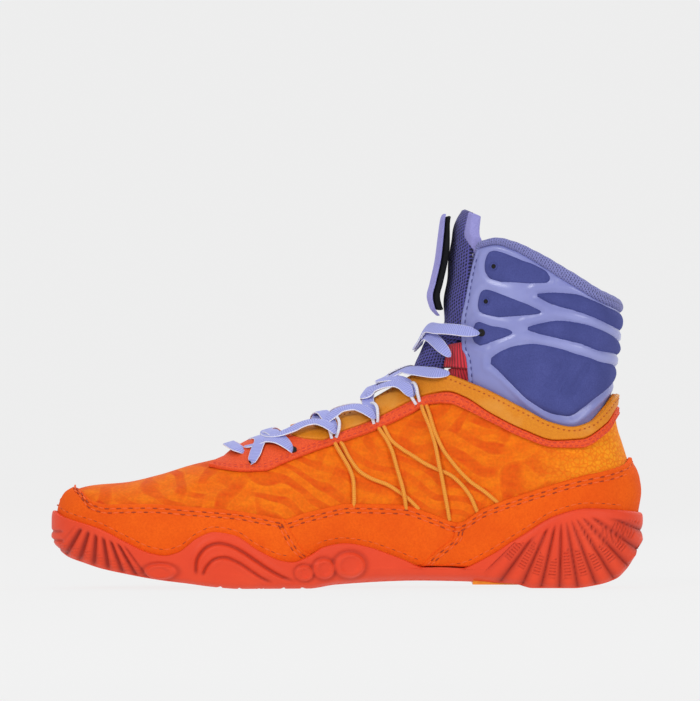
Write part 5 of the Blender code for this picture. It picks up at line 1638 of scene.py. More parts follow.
def make_trims():
    """Trim band and eyestay from one side of the throat round the heel to the other, and their stitches."""
    lines = make_throat_overlay()
    band_front = float(lap_of(np.array(place(OVERLAY_BACK) + CLEARANCE), 0.07))
    stay_front = float(lap_of(np.array(place(EYESTAY_FRONT)), 0.08))
    levels = eased(16)

    def stay_low(x):
        return band_high_z(x) + TRIM_SEAM * 0.3

    def stay_high(x):
        return edge_z(x) + CLEARANCE

    run = np.linspace(band_front, 2 - band_front, 420)
    laps, girths = leaned(run, band_low_z, band_high_z, levels, (0, 0))
    below = from_top(on_last(laps, girths))
    width = below[:1]
    relief = -0.00022 * (bump(below - 0.0013, 0.0005) + bump(width - below - 0.0013, 0.0005))
    made = overlay("trim_band_skin", laps, girths, TRIM_GAP - 0.0009, TRIM_THICKNESS + 0.0009, TRIM, 0.0007,
                   relief)[0]
    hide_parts("trim_band")
    lift = TRIM_GAP + TRIM_THICKNESS - 0.0001
    for share_down in (0.25, 0.75):
        lap = laps[0]
        girth = girths[0] + (girths[-1] - girths[0]) * share_down
        out = normals(lap, girth)
        lines.append((on_last(lap, girth) + out * lift, out))
    thread = stitches("trim_thread", lines, 0.0030, 0.0019, 0.0007, THREAD_RED, sink=0.00005)

    run = np.linspace(stay_front, 2 - stay_front, 420)
    laps, girths = leaned(run, stay_low, stay_high, levels, (0, 0))
    relief = -0.0002 * bump(from_top(on_last(laps, girths)) - STAY_ROW, 0.0006)
    made, base = overlay("eyestay_skin", laps, girths, TRIM_GAP - 0.0012, TRIM_THICKNESS + 0.0007, STAY,
                         0.0007, relief)
    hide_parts("eyestay")
    line, out = column_line(laps, girths, base, STAY_ROW, TRIM_GAP + TRIM_THICKNESS - 0.0006)
    thread = stitches("eyestay_thread", [(line, out)], 0.0027, 0.0013, 0.0007, THREAD_BROWN, sink=0.00005)


def shaft_point(run, level):
    """Lap and girth on the shaft: run from the inner front edge, 0, round to the outer one, 2."""
    run = np.asarray(run, dtype=float)
    near = 1 - np.abs(1 - run)
    top = collar_at(near) * COLLAR_HEIGHT
    low = near * 0.0
    z = np.full(run.shape, 0.12)
    for _ in range(5):
        front = lap_of(place(shaft_front_at(z / COLLAR_HEIGHT)), z)
        lap = front + (1 - front) * near
        x, _ends = reach(lap, z)
        low = edge_share_at(share(x)) * INSTEP_HEIGHT - SHAFT_TUCK
        z = low + (top - low) * level
    lap = np.where(run > 1, 2 - lap, lap)
    return lap, girth_of(x, z)


def wrap_edges(table, tip, x, z):
    """Signed height distance of a place from a wrapping pad: negative inside it, in metres."""
    start = lap_of(np.array(place(tip)), z)
    near = np.clip((lap_of(x, z) - start) / (1 - start), 0, 1)
    low = curve(table, 1)(near) * COLLAR_HEIGHT
    high = curve(table, 2)(near) * COLLAR_HEIGHT
    ahead = np.clip(place(tip) - x, 0, None)
    return np.hypot(np.maximum(np.maximum(low - z, z - high), 0), ahead) * np.where(
        (z > low) & (z < high) & (ahead <= 0), 0, 1)


LEAF_OUTLINES = {
    # side-view outline of each leaf pad, round from its upper front corner
    "upper": [(482.2, 257.5), (485.5, 251.8), (491, 250.6), (500.6, 253), (516, 258.7), (533.8, 265.7),
              (545.3, 272), (550, 279.7), (546.5, 284.4), (527.4, 284.8), (498, 283.2), (486, 279.5),
              (481.2, 272.5), (480.8, 264.4)],
    "middle": [(474.8, 297.5), (477.5, 291.2), (482.5, 289), (490, 291), (508.3, 297.6), (527.4, 305.3),
               (539, 311), (541.8, 313.6), (537, 315.2), (508.3, 318), (495.5, 318.8), (482.8, 315.8),
               (475, 312), (473.6, 305.5)],
    "lower": [(469.4, 328), (471.6, 322.8), (475.5, 321.3), (489.6, 325), (505, 328.8), (511.6, 332),
              (511.6, 334.6), (502, 338.6), (484, 345.2), (477, 346.6), (471, 343.5), (468.2, 337.5)],
}


def closed_ring(outline, count=140):
    """A closed side-view outline in even steps, its corners softened by five passes of a 1-2-1 average."""
    corners = np.array(list(outline) + [outline[0]], dtype=float)
    steps = length_to(corners)
    even = np.linspace(0, steps[-1], count, endpoint=False)
    ring = np.stack([np.interp(even, steps, corners[:, k]) for k in range(2)], axis=-1)
    for _ in range(5):
        ring = (np.roll(ring, 1, axis=0) + ring * 2 + np.roll(ring, -1, axis=0)) / 4
    return ring


def domed(name, outline, seat, thickness, look, side, radius):
    """A pad in a closed side-view outline: rings from its middle out, its edge a quarter round."""
    ring = closed_ring(outline)
    middle = ring.mean(axis=0)
    grown = 1 - (1 - np.linspace(0.05, 1, 24)) ** 1.7
    spot = middle + (ring - middle)[None] * grown[:, None, None]
    x, z = px_x(spot[..., 0]), py_z(spot[..., 1])
    lap, girth = side_lap(x, z, side), girth_of(x, z)
    base_points, out = on_last(lap, girth), normals(lap, girth)
    inward = np.linalg.norm(ring - middle, axis=-1)[None] * (1 - grown)[:, None] * PIXEL
    top = base_points + out * (seat + thickness * rounded(inward, radius))[..., None]
    low = base_points + out * seat
    rows = np.concatenate([top, low[::-1]])
    index = numbered(rows)
    caps = [index[0][None, ::-1], index[-1][None, :]]
    flat = np.concatenate([np.stack([x, z], axis=-1), np.stack([x, z], axis=-1)[::-1]])
    return put(name, rows, [quads(index, closed=True), *caps], look, flat)


def shaft_relief(x, z):
    """The moulded frame round the pads: a shallow step down into each pad and a soft rib round it."""
    relief = np.zeros(np.shape(x))
    for _name, tip, table in WRAPS:
        d = wrap_edges(table, tip, x, z)
        relief += 0.0008 * bump(d - 0.0030, 0.0019) - 0.0003 * (d < 0.0001)
    px, py = to_px(x, z)
    for outline in LEAF_OUTLINES.values():
        d = line_distance(px, py, closed_ring(list(outline) + [outline[0]], 60))[0] * PIXEL
        relief += 0.00050 * bump(d - 0.0026, 0.0017) + 0.00022 * bump(d - 0.0007, 0.0005)
    return np.minimum(relief, 0.0011)


SHAFT_STITCH_IN = 0.0026


def make_shaft():
    """Moulded ankle shaft with its wall, ribs round the pads, and a stitched front edge."""
    runs = np.concatenate([eased(78, 0, 0.5)[:-1], np.linspace(0.5, 1.5, 116)[:-1], eased(78, 1.5, 2.0)])
    levels = np.linspace(0, 1, 92)
    spots = [shaft_point(runs, level) for level in levels]
    laps, girths = (np.array([spot[k] for spot in spots]) for k in (0, 1))
    base = on_last(laps, girths)
    out = normals(laps, girths)
    d = edge_distance(base)
    rise = rounded(d, 0.0010)
    along = along_rows(base)
    side = np.minimum(along, along[:, -1:] - along)
    relief = shaft_relief(base[..., 0], base[..., 2])
    relief = relief - 0.00035 * bump(side - SHAFT_STITCH_IN, 0.0006)
    relief = relief * fade(d / 0.003)
    height = SHAFT_SEAT - 0.0010 * (1 - rise) + relief
    top = base + out * height[..., None]
    bottom = base + out * (SHAFT_SEAT - SHAFT_WALL * rounded(d + 0.0004, 0.0012))[..., None]
    made = slab("shaft_film", top, bottom, FILM, grid_uv(base))
    made.data.materials.append(LINING)
    inner = np.zeros(len(made.data.polygons), dtype=np.int32)
    count = (len(levels) - 1) * (len(runs) - 1)
    inner[count:2 * count] = 1
    made.data.polygons.foreach_set("material_index", inner)
    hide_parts("shaft")
    lines = []
    for last in (False, True):
        away = (along[:, -1:] - along) if last else along
        rows = slice(round(len(levels) * 0.12), round(len(levels) * 0.93))
        lines.append(thread_line(away[rows], laps[rows], girths[rows], SHAFT_STITCH_IN, SHAFT_SEAT - 0.0001))
    thread = stitches("shaft_thread", lines, 0.0034, 0.0021, 0.0006, THREAD_VIOLET, sink=0.00005)


def make_collar():
    """Padded knit roll along the collar: round in section, thicker at the back, turned down in front."""
    runs = np.concatenate([np.full(12, 0.006), np.linspace(0.010, 1.990, 236), np.full(12, 1.994)])
    turned_down = np.concatenate([np.linspace(0.10, 0.012, 12), np.zeros(236), np.linspace(0.012, 0.10, 12)])
    lap, girth = shaft_point(runs, 1.0 - turned_down)
    path = skin(lap, girth, SHAFT_SEAT - SHAFT_WALL / 2 + 0.0 * runs)
    radius = COLLAR_ROLL_FRONT + (COLLAR_ROLL_BACK - COLLAR_ROLL_FRONT) * fade((1 - np.abs(1 - runs)) / 0.6)
    radius = radius * (1 + 0.015 * np.sin(runs * 90)) * (1 - 0.55 * fade(turned_down / 0.08))
    path[:, 2] += radius * 0.85 + CLEARANCE
    along = unit(np.gradient(path, axis=0))
    aside = unit(np.cross(along, (0, 0, 1)))
    lift = np.cross(aside, along)
    ends = rounded(np.minimum(np.arange(len(runs)), len(runs) - 1 - np.arange(len(runs))) / 5.0, 1.0)
    size = radius * np.maximum(ends, 0.05)
    turn = np.linspace(0, 2 * math.pi, 28, endpoint=False)
    rows = (path[:, None] + (aside[:, None] * np.cos(turn)[None, :, None]
                             + lift[:, None] * np.sin(turn)[None, :, None]) * size[:, None, None])
    index = numbered(rows)
    travelled = length_to(path)
    uv = np.stack(np.broadcast_arrays(turn * 0.0024, travelled[:, None]), axis=-1)
    caps = [index[0][None, ::-1], index[-1][None, :]]
    made = put("collar_roll_knit", rows, [quads(index, closed=True), *caps], ROLL_KNIT, uv)
    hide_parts("collar_roll")


PAD_SUNK = 0.0009
LEAF_HEIGHT = 0.0019
FIN_HEIGHT = 0.0026
HEEL_PAD_HEIGHT = 0.0022


def make_pads():
    """Microfibre pads: three leaves on each side and three that wrap round the heel, domed to their edges."""
    for name, outline in LEAF_OUTLINES.items():
        for side_name, side in (("inner", 0), ("outer", 1)):
            made = domed(f"pad_{name}_{side_name}_skin", outline, SHAFT_SEAT - PAD_SUNK, LEAF_HEIGHT, PAD,
                         side, 0.0020)
            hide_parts(f"pad_{name}_{side_name}")
    for name, tip, table in WRAPS:
        run = np.concatenate([eased(62, 0, 0.5)[:-1], np.linspace(0.5, 1.5, 80)[:-1], eased(62, 1.5, 2.0)])
        near = 1 - np.abs(1 - run)
        lower, upper = curve(table, 1), curve(table, 2)
        middle = (float(lower(0.0)) + float(upper(0.0))) / 2 * COLLAR_HEIGHT
        start = float(lap_of(np.array(place(tip)), middle))
        lap = start + (1 - start) * near
        lap = np.where(run > 1, 2 - lap, lap)
        z = (lower(near) + (upper(near) - lower(near)) * eased(44)[:, None]) * COLLAR_HEIGHT
        laps = np.broadcast_to(lap, z.shape)
        girths = girth_of(reach(1 - np.abs(1 - laps), z)[0], z)
        base = on_last(laps, girths)
        relief = heel_motif(base[..., 0], base[..., 2]) if name == "heel_pad" else 0.0
        made = overlay(f"{name}_skin", laps, girths, SHAFT_SEAT - PAD_SUNK,
                       FIN_HEIGHT if "fin" in name else HEEL_PAD_HEIGHT, PAD, 0.0040, relief)[0]
        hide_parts(name)


MOTIF_STROKES = [
    # slanted bars pressed into the heel pad, in side-view pixels
    [(546, 386), (556, 368)],
    [(558, 391), (572, 366)],
    [(570, 396), (588, 366)],
]


def heel_motif(x, z):
    """Three plain slanted bars, each an outline pressed in around a raised middle."""
    px, py = to_px(x, z)
    relief = np.zeros(np.shape(x))
    for line in MOTIF_STROKES:
        distance, _along = line_distance(px, py, line)
        relief -= 0.00055 * bump(distance - 2.4, 1.0)
    return relief


def tongue_frame(run):
    """Ridge point, outward normal, half width and fall of the tongue at shares of the way up it."""
    ridge = [(place(row[0]), row[1] * COLLAR_HEIGHT) for row in TONGUE]
    steps = [math.dist(ridge[i], ridge[i + 1]) for i in range(len(ridge) - 1)]
    travelled = np.concatenate([[0], np.cumsum(steps)]) / sum(steps)
    table = [(t, p[0], p[1], row[2], row[3]) for t, p, row in zip(travelled, ridge, TONGUE)]
    x, z, half, fall = (curve(table, k)(run) for k in (1, 2, 3, 4))
    step = 0.01
    dx = curve(table, 1)(run + step) - curve(table, 1)(run - step)
    dz = curve(table, 2)(run + step) - curve(table, 2)(run - step)
    size = np.hypot(dx, dz)
    return x, z, -dz / size, dx / size, half, fall


def on_tongue(run, across, out):
    """Points over the tongue: across in metres from the ridge, out from its outer face."""
    x, z, nx, nz, half, fall = tongue_frame(run)
    drop = fall * np.abs(across / half) ** 2.0
    px = x + nx * (out - drop)
    pz = z + nz * (out - drop)
    return np.stack([px, spine_y(x) * fade((place(0.70) - x) / 0.05 + 0.5) + across, pz], axis=-1)


def make_tongue():
    """Mesh tongue with a rounded edge and soft cushioning, and the smooth pad behind its top."""
    for name, low, high, shrink, seat, thickness, look, node, slot in (
            ("tongue_mesh_skin", 0.0, 1.0, 1.0, 0.0, TONGUE_THICKNESS, TONGUE_MESH, "tongue", "tongue_mesh"),
            ("tongue_tab", PAD_START + 0.055, 1.0, 1.12, -TONGUE_THICKNESS - 0.0004, TONGUE_PAD * 0.55,
             LILAC_CLOTH, "tongue_pad", "shaft_lilac")):
        runs = eased(110, low, high) if low else np.linspace(low, high, 190)
        half = tongue_frame(runs)[4] * shrink
        levels = eased(44, -1, 1)
        across = levels[:, None] * half[None]
        along = runs[None] + 0 * levels[:, None]
        flat = on_tongue(along, across, seat)
        d = edge_distance(flat)
        rise = rounded(d, 0.0014 if low == 0.0 else 0.0012)
        swell = 0.0
        if low == 0.0:
            swell = 0.00035 * np.sin(runs * 60)[None] * fade(d / 0.004) * fade((runs - 0.5) / 0.1)[None]
        middle = -thickness / 2
        out_top = seat + middle + thickness / 2 * rise + swell
        out_low = seat + middle - thickness / 2 * rise
        if low:
            wrap = 0.70 + 0.24 * (1 - fade((runs[None] - low) / 0.05))
            proud = fade((np.abs(levels[:, None]) - wrap) / 0.06)
            out_top = out_top + (TONGUE_THICKNESS + 0.0008) * proud * rise
        top = on_tongue(along, across, out_top)
        low_face = on_tongue(along, across, out_low)
        made = slab(name, top, low_face, look, grid_uv(flat))
        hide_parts(node)


def make_cover():
    """Lace cover: a curved flap with a rounded edge in front of the tongue, and behind it a thick black
    sheet, partly its black lining and partly painted shadow under the flap.
    """
    kinds = (("lace_cover_flap", 0.0, COVER_THICKNESS, 1.0, 0.0, LILAC_CLOTH, "lace_cover", "shaft_lilac"),
             # The black back is made thick so that it also paints the shadow under the flap.
             ("lace_cover_back", COVER_THICKNESS + COVER_GAP - 0.0008, COVER_BACK_THICKNESS + 0.0008, 0.91, 0.016,
              BLACK_LINING_AND_SHADE, "lace_cover_lining", "cover_lining_black"))
    for name, back, thickness, shrink, trimmed, look, node, slot in kinds:
        up = eased(120, COVER[0][0] + trimmed, COVER[-1][0] - trimmed * 0.4)
        along, half = curve(COVER, 1)(up), curve(COVER, 2)(up)
        levels = eased(50, -1, 1)
        faces = []
        for depth in (0.0, thickness):
            y = levels[:, None] * (half * shrink)[None]
            slope = y / COVER_RADIUS
            size = np.sqrt(1 + slope ** 2)
            flat_x = place(along)[None] + y ** 2 / (2 * COVER_RADIUS)
            flat = np.stack([flat_x, y, np.broadcast_to(up[None] * COLLAR_HEIGHT, y.shape)], axis=-1)
            rise = rounded(edge_distance(flat), 0.0010)
            full = thickness
            if name == "lace_cover_back":
                top_thin = 1 - 0.35 * fade((up[None] - 0.96) / 0.09)
                full = thickness * (1 - 0.30 * np.abs(levels[:, None]) ** 3) * top_thin
            reach_back = back + full / 2 + (depth / thickness - 0.5) * full * rise
            x = flat_x + reach_back / size
            y = y - reach_back * slope / size + spine_y(place(0.66)) * 0.5
            faces.append(np.stack([x, y, flat[..., 2]], axis=-1))
        made = slab(name, faces[0], faces[1], look, grid_uv(faces[0]))
        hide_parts(node)


def make_footbed():
    """Insole: a cloth-topped bed with a soft rolled edge and a shallow heel cup."""
    half = np.linspace(0, 1, 90)
    laps = np.concatenate([half, 2.0 - half[-2:0:-1]])
    edge = skin(laps, np.zeros(len(laps)), -UPPER_WALL - 0.0009)
    edge[:, 2] = bed_z(edge[:, 0]) + CLEARANCE
    mate = (len(laps) - np.arange(len(laps))) % len(laps)
    middle = np.stack([edge[:, 0], spine_y(edge[:, 0]), edge[:, 2]], axis=-1)
    middle = (middle + middle[mate]) / 2
    rows = []
    for t in (0.0, 0.25, 0.5, 0.7, 0.85, 0.94, 0.98, 1.0):
        row = middle + (edge - middle) * t
        dish = 0.0005 * (t ** 2) * fade((share(row[:, 0]) - 0.7) / 0.1)
        row[:, 2] += INSOLE_THICKNESS * (1 - 0.35 * max(t - 0.9, 0) / 0.1) - 0.0005 + dish
        rows.append(row)
    rows = np.array(rows + [edge, middle])
    index = numbered(rows)
    made = put("footbed_skin", rows, [quads(index, closed=True)], FOOTBED, weld=WELD)
    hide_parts("insole")


# Cables: side-view lines, from under the trim band to under the mudguard
CABLE_RUNS = [
    # name, points, share along where it hops over another strand or None
    ("1a", [(332, 438), (335.4, 446), (343.5, 460), (349, 470), (352.2, 480), (352.8, 491),
            (353, 507)], None),
    ("1b", [(337, 438), (341.5, 445), (348.8, 459), (358, 471), (371.6, 479), (386.3, 484.4), (398.4, 491.7),
            (407.8, 498.4), (419, 509)], None),
    ("2a", [(376, 423), (379.6, 430), (386.3, 440), (391, 449.6), (395.7, 465.6), (401, 485.7),
            (406, 509)], 0.80),
    ("2b", [(380, 420), (384.3, 428), (390.4, 440), (401, 449), (414.5, 457), (428, 465), (438.6, 469.6),
            (449.3, 474.3), (461.3, 484.4), (469.4, 495), (477, 512)], None),
    ("3a", [(421, 401), (423.8, 409.4), (430.5, 428), (435.9, 445.5), (440, 465.6), (444, 491),
            (449, 520)], 0.56),
    ("3b", [(424, 400), (428, 408.7), (436, 433.5), (444, 451), (456, 467), (470.7, 481.7), (484, 491),
            (498, 503)], None),
]
LOOP_RUNS = [
    # white loop ahead of each pair of cables: side-view points with the lift off the last in metres
    ("1", [(331.5, 441, 0.0022), (329.5, 436, 0.0046), (326.5, 431.5, 0.0052), (327.5, 427, 0.0036),
           (331.5, 423, 0.0030), (336.0, 423.0, 0.0042), (338.8, 428, 0.0054), (338.4, 434, 0.0050),
           (335.5, 440, 0.0022)]),
    ("2", [(374.5, 426, 0.0022), (372.5, 421, 0.0046), (368.6, 417.2, 0.0052), (368.6, 412, 0.0036),
           (371.5, 408.5, 0.0030), (375.5, 408.6, 0.0042), (379.2, 413, 0.0054), (379.4, 419, 0.0050),
           (378.0, 424, 0.0022)]),
    ("3", [(418.0, 406, 0.0022), (415.5, 401, 0.0046), (411.5, 396.6, 0.0052), (411.5, 391, 0.0036),
           (414.5, 387, 0.0030), (418.5, 386.4, 0.0042), (422.3, 391, 0.0054), (422.6, 397, 0.0050),
           (421.5, 403, 0.0022)]),
]


def make_cables():
    """Yellow cables on both quarters, tucked under the band and the mudguard, and the white loops."""
    for side_name, side in (("inner", 0), ("outer", 1)):
        for name, marks, hop in CABLE_RUNS:
            marks = through(marks, 60)
            t = np.linspace(0, 1, 60)
            lift = LAYER_GAP * 0.5 + CABLE_DIAMETER / 2
            lift = lift - 0.0012 * (1 - fade(t / 0.10)) - 0.0012 * (1 - fade((1 - t) / 0.10))
            if hop is not None:
                lift = lift + 0.0021 * bump(t - hop, 0.13)
                if name == "3a":
                    lift = lift + 0.0010 * bump(t - 0.1, 0.1)
            points, out = off_last(marks[:, 0], marks[:, 1], lift, side)
            piece = sweep(points, out, ring_section(CABLE_DIAMETER / 2))
            made = merged(f"cable_{name}_{side_name}_cord", [piece], CABLE)
            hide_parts(f"cable_{name}_{side_name}")
        for name, marks in LOOP_RUNS:
            marks = through(marks, 60)
            points, out = off_last(marks[:, 0], marks[:, 1], marks[:, 2], side)
            piece = sweep(points, out, ring_section(LOOP_DIAMETER / 2 * 0.9))
            made = merged(f"cord_loop_{name}_{side_name}_cord", [piece], CORD)
            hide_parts(f"cord_loop_{name}_{side_name}")


# Lace: each crossing has a lower run, from a station up to the ridge, and an upper run, from the ridge down
# to the next station. A place is a side-view column and row of the strand's middle, and its lift in
# millimetres.
LACE_RUNS = [
    # lower run, upper run
    ([(253, 465, -1.6), (254, 461, 0.7), (257, 454, 0.9), (260, 447, 0.8), (262, 443, 0.6)],
     [(260, 443, 0.6), (267, 440, 0.9), (277.5, 439.5, 1.4), (285, 442.5, 1.5), (290, 447, 1.1),
      (294, 453, -1.4)]),
    ([(294, 453, -1.6), (289, 446, 0.6), (283, 439, 0.8), (277, 433.5, 0.6)],
     [(284, 434, 1.0), (292, 430.5, 1.8), (301, 425.5, 2.4), (309, 422.6, 2.8), (317, 421.6, 3.0),
      (325, 423.6, 3.9), (331, 428, 4.3), (335, 434, 2.8)]),
    ([(335, 434, 1.4), (332.5, 427, 1.2), (329.5, 420, 1.0), (326, 415, 0.8)],
     [(327, 420, 1.4), (333, 415.5, 2.2), (340, 410.5, 2.8), (348, 408.0, 3.2), (357, 407.0, 3.4),
      (365, 409.2, 4.0), (372, 413.5, 4.4), (376.5, 419, 2.8)]),
    ([(376.5, 419, 1.4), (373.5, 411, 1.2), (370.0, 403, 1.2), (371.0, 396, 1.2), (376, 388, 1.2)],
     [(371, 397, 1.6), (377, 392, 2.4), (384, 388.0, 3.0), (392, 385.0, 3.4), (401, 384.0, 3.6),
      (408, 386.4, 4.0), (413.5, 391, 4.3), (417, 397, 2.8)]),
    ([(417, 397, 1.4), (413, 388, 1.4), (406, 382, 1.4), (397, 379.5, 1.6), (387, 379.5, 1.6)],
     [(392, 377, 1.6), (399, 373.0, 1.8), (408, 370.4, 2.4), (418, 370.4, 2.6), (430, 371.6, 2.4),
      (441, 373.0, 1.8), (451, 373.6, -0.8)]),
    ([(452, 357, -0.8), (447, 349, 0.9), (442, 341.5, 1.4), (436, 335.5, 1.6)],
     [(427, 332.6, 2.0), (436, 330.2, 2.2), (446, 329.3, 2.2), (458, 329.8, 2.0), (468, 331.2, 1.8),
      (475, 332.4, 1.2), (480, 333.4, -1.4)]),
]
LACE_LEAN = 0.55
FIRST_BAR = [(246, 453, -0.8), (242, 449, 1.4), (238.5, 446.5, 2.0)]


def lace_places(run, side):
    """Places and outward faces of one run of lace on the inner side, -1, or the outer one, 1.

    A place lies off the last by its lift, over a seat moved up or down until the place has its row's height.
    At the ridge, where the seat can't move, the lift is cut where the place would stand over its row.
    """
    run = np.array(run, dtype=float)
    lift = TRIM_GAP + TRIM_THICKNESS + run[:, 2] * 0.001
    crest = ridge_at(share(px_x(run[:, 0]))) * INSTEP_HEIGHT * 0.992
    z = py_z(run[:, 1])
    seat = np.minimum(z, crest)
    for _ in range(4):
        spot, outward = off_last(run[:, 0], PIXEL_FLOOR - seat / PIXEL, lift, 0 if side < 0 else 1)
        seat = np.minimum(seat + (z - spot[:, 2]) * 0.8, crest)
        lowest = TRIM_GAP + TRIM_THICKNESS + 0.0004
        high = (run[:, 2] > 0) & (seat > crest - 0.0012)
        lift = np.where(high, np.maximum(lift - np.maximum(spot[:, 2] - z, 0) * 0.8, lowest), lift)
    outward[:, 2] += LACE_LEAN
    return spot, unit(outward)


def lace_piece(first, second, side, lift):
    """One strand from a station on the far side over the ridge to the next station on the near side."""
    near, near_face = lace_places(second, side)
    far, far_face = lace_places(first, -side)
    knots = np.concatenate([far, near])
    faces = np.concatenate([far_face, near_face])
    path = through(knots, 100)
    steps = length_to(knots)
    even = np.linspace(0, 1, 100)
    face = np.stack([np.interp(even, steps / steps[-1], faces[:, k]) for k in range(3)], axis=-1)
    for _ in range(8):
        face[1:-1] = (face[:-2] + face[1:-1] * 2 + face[2:]) / 4
    face = unit(face)
    path = path + face * (lift * bump(even - 0.45, 0.25))[:, None]
    return sweep(path, face, flat_section(LACE_WIDTH, LACE_THICKNESS * 0.75), 12)


def make_lace():
    """The lace in one body: crossings from station to station, through the loops and over the webbing."""
    pieces = []
    for k, (lower, upper) in enumerate(LACE_RUNS):
        order = 1 if k % 2 else -1
        pieces.append(lace_piece(lower, upper, -1, 0.0007 + 0.0006 * order))
        pieces.append(lace_piece(lower, upper, 1, 0.0007 - 0.0006 * order))
    pieces.append(lace_piece(FIRST_BAR, FIRST_BAR[::-1], -1, 0.0))
    made = merged("lace_runs", pieces, LACE)
    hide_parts(*[f"lace_crossing_{k}" for k in range(1, 7)])


def patch_on_leg(name, corners, seat, thickness, look, side):
    """A small plate over the leg between four side-view corners, filled in both ways by straight lines."""
    a, b, c, d = (np.array(corner, dtype=float) for corner in corners)
    u, v = np.meshgrid(eased(26), eased(26))
    spot = (a * (1 - u)[..., None] * (1 - v)[..., None] + b * u[..., None] * (1 - v)[..., None]
            + c * u[..., None] * v[..., None] + d * (1 - u)[..., None] * v[..., None])
    x, z = px_x(spot[..., 0]), py_z(spot[..., 1])
    laps = side_lap(x, z, side)
    return overlay(name, laps, girth_of(x, z), seat, thickness, look, 0.0007)[0]


WEBBING_PATCHES = [
    # name, side-view corners, seat and thickness in metres
    ("upper", [(443, 343.5), (461, 341.5), (466, 369), (438, 366.5)], -0.0048, 0.0021),
    ("lower", [(441, 367), (462, 364.5), (469, 385), (441, 378)], -0.0070, 0.0020),
]


def make_webbing():
    """Red ribbed webbing between the shaft's front edge and the throat, on both sides."""
    for side_name, side in (("inner", 0), ("outer", 1)):
        for name, corners, seat, thickness in WEBBING_PATCHES:
            made = patch_on_leg(f"webbing_{name}_{side_name}", corners, seat, thickness, WEBBING, side)


EYELETS = [
    # side-view place, lift off the last, hole radius in metres, with a rim or not
    (491.7, 267.0, SHAFT_SEAT + 0.00115, 0.0011, True),
    (484.0, 301.8, SHAFT_SEAT + 0.00115, 0.0011, True),
    (479.5, 333.0, SHAFT_SEAT + 0.00115, 0.0019, False),
    (254.0, 463.5, TRIM_GAP + TRIM_THICKNESS, 0.0019, False),
    (293.0, 452.0, TRIM_GAP + TRIM_THICKNESS, 0.0019, False),
]


def make_eyelets():
    """Punched holes as shallow dark cups, painted shade standing for the holes' depth, some with a thin
    moulded rim, each turned round its own normal.
    """
    turn = np.linspace(0, 2 * math.pi, 32, endpoint=False)
    cups, rims = [], []
    for px, py, lift, radius, rimmed in EYELETS:
        for side in (0, 1):
            centre, out = off_last(np.array([px]), np.array([py]), lift, side)
            centre, out = centre[0], out[0]
            aside = np.cross(out, (0, 0, 1))
            aside = aside / np.linalg.norm(aside)
            up = np.cross(aside, out)
            ring = aside[None] * np.cos(turn)[:, None] + up[None] * np.sin(turn)[:, None]
            # Painted shade: each cup's dark colour stands for the shade inside a hole that the surface under
            # it does not have.
            rows = [centre + ring * radius * size + out * depth for size, depth in
                    ((0.05, -0.00012), (0.6, -0.00010), (1.0, 0.00012), (1.0, -0.0006), (0.05, -0.0006))]
            cups.append(np.array(rows))
            if rimmed:
                path = centre + ring * (radius + 0.0004) + out * 0.0001
                tube_turn = np.linspace(0, 2 * math.pi, 10, endpoint=False)
                rows = [path + (ring * math.cos(t) + out * math.sin(t)) * 0.00035 for t in tube_turn]
                rims.append(np.array(rows + [rows[0]]))
    for name, grids, look in (("eyelet_holes", cups, HOLE_SHADE), ("eyelet_rims", rims, PAD)):
        points, faces, offset = [], [], 0
        for grid in grids:
            index = numbered(grid) + offset
            faces.append(quads(index, closed=True))
            points.append(grid.reshape(-1, 3))
            offset += len(points[-1])
        made = put(name, np.concatenate(points), [np.concatenate(faces)], look)


def make_throat_lining():
    """Dark red lining strip that shows in the throat's front, between the overlay's edge and the tongue."""
    runs = np.linspace(0.0, 0.36, 60)
    levels = np.linspace(-0.95, 0.95, 24)
    half = tongue_frame(runs)[4]
    across = levels[:, None] * half[None]
    top, low = (on_tongue(runs[None] + 0 * across, across, out) for out in (0.0004, 0.0001))
    made = slab("throat_lining", top, low, WEBBING, grid_uv(top))


PAPER_REACH = 13.0
BEND_START = 3.9
BEND_RADIUS = 2.6
SENSOR = 36.0


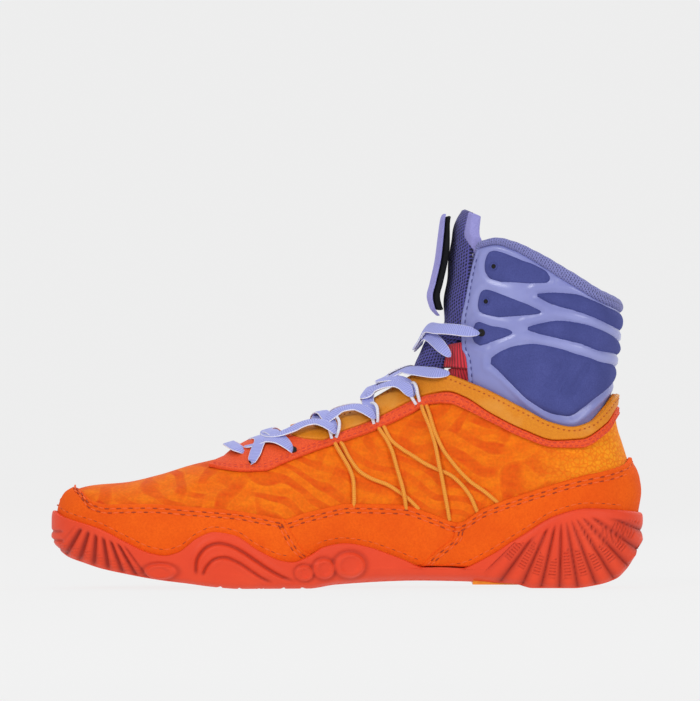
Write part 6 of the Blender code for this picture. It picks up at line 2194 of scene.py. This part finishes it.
def make_studio():
    """Pale floor that sweeps up into a backdrop, soft lamps, and the camera."""
    turn = np.linspace(0, math.pi / 2, 12)[1:]
    depth = np.concatenate([np.linspace(-PAPER_REACH, BEND_START, 12),
                            BEND_START + BEND_RADIUS * np.sin(turn), np.full(6, BEND_START + BEND_RADIUS)])
    height = np.concatenate([np.zeros(12), BEND_RADIUS - BEND_RADIUS * np.cos(turn),
                             np.linspace(3.9, PAPER_REACH, 6)])
    across = np.linspace(-PAPER_REACH, PAPER_REACH, 9)
    grid = np.stack(np.broadcast_arrays(across[None], depth[:, None], height[:, None] - 0.0002), axis=-1)
    index = numbered(grid)
    mesh = bpy.data.meshes.new("studio_sweep")
    mesh.from_pydata(grid.reshape(-1, 3).tolist(), [], quads(index).tolist())
    mesh.shade_smooth()
    mesh.materials.append(PAPER)
    sweep_paper = bpy.data.objects.new("studio_sweep", mesh)
    bpy.context.scene.collection.objects.link(sweep_paper)

    world = bpy.data.worlds.new("studio")
    world.use_nodes = True
    world.node_tree.nodes["Background"].inputs["Color"].default_value = (1.0, 1.0, 1.0, 1.0)
    world.node_tree.nodes["Background"].inputs["Strength"].default_value = WORLD_LIGHT
    bpy.context.scene.world = world
    for name, spot, aim, size, power in LAMPS:
        lamp = bpy.data.lights.new(name, "AREA")
        lamp.shape = "DISK"
        lamp.size = size
        lamp.energy = power
        made = bpy.data.objects.new(name, lamp)
        bpy.context.scene.collection.objects.link(made)
        made.location = spot
        facing = np.array(aim) - np.array(spot)
        made.rotation_euler = turned_to(facing)
    camera = bpy.data.cameras.new("camera")
    camera.lens = CAMERA_LENS
    camera.sensor_width = SENSOR
    camera.clip_start = 0.1
    camera.clip_end = 50.0
    made = bpy.data.objects.new("camera", camera)
    bpy.context.scene.collection.objects.link(made)
    distance = VIEW_HEIGHT * CAMERA_LENS / SENSOR
    made.location = (VIEW_MIDDLE[0], -distance, VIEW_MIDDLE[1])
    made.rotation_euler = (math.pi / 2, 0.0, 0.0)
    bpy.context.scene.camera = made
    bpy.context.scene.view_settings.view_transform = "Standard"
    bpy.context.scene.view_settings.look = "None"


def turned_to(facing):
    """The turn that points a lamp's -Z along a direction."""
    return Vector(facing).to_track_quat("-Z", "Y").to_euler()


VIEW_HEIGHT = 0.3466
VIEW_MIDDLE = (0.0012, 0.1169)
CAMERA_LENS = 520.0
WORLD_LIGHT = 0.36
LAMPS = [
    # name, place, aim, size, power
    ("key", (-0.9, -1.6, 1.1), (0.0, 0.0, 0.05), 0.8, 15.0),
    ("fill", (1.3, -1.5, 0.6), (0.0, 0.0, 0.05), 1.0, 10.0),
    ("top", (0.1, 0.2, 1.9), (0.0, 0.0, 0.0), 1.3, 8.0),
    ("back", (0.9, 1.2, 1.2), (0.0, 0.0, 0.1), 1.0, 7.0),
]

make_outsole()
make_upper()
make_guards()
make_trims()
make_shaft()
make_collar()
make_pads()
make_tongue()
make_cover()
make_footbed()
make_cables()
make_lace()
make_webbing()
make_eyelets()
make_throat_lining()
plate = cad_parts["arch_plate"]
plate.data.materials.clear()
plate.data.materials.append(PLATE)
make_studio()
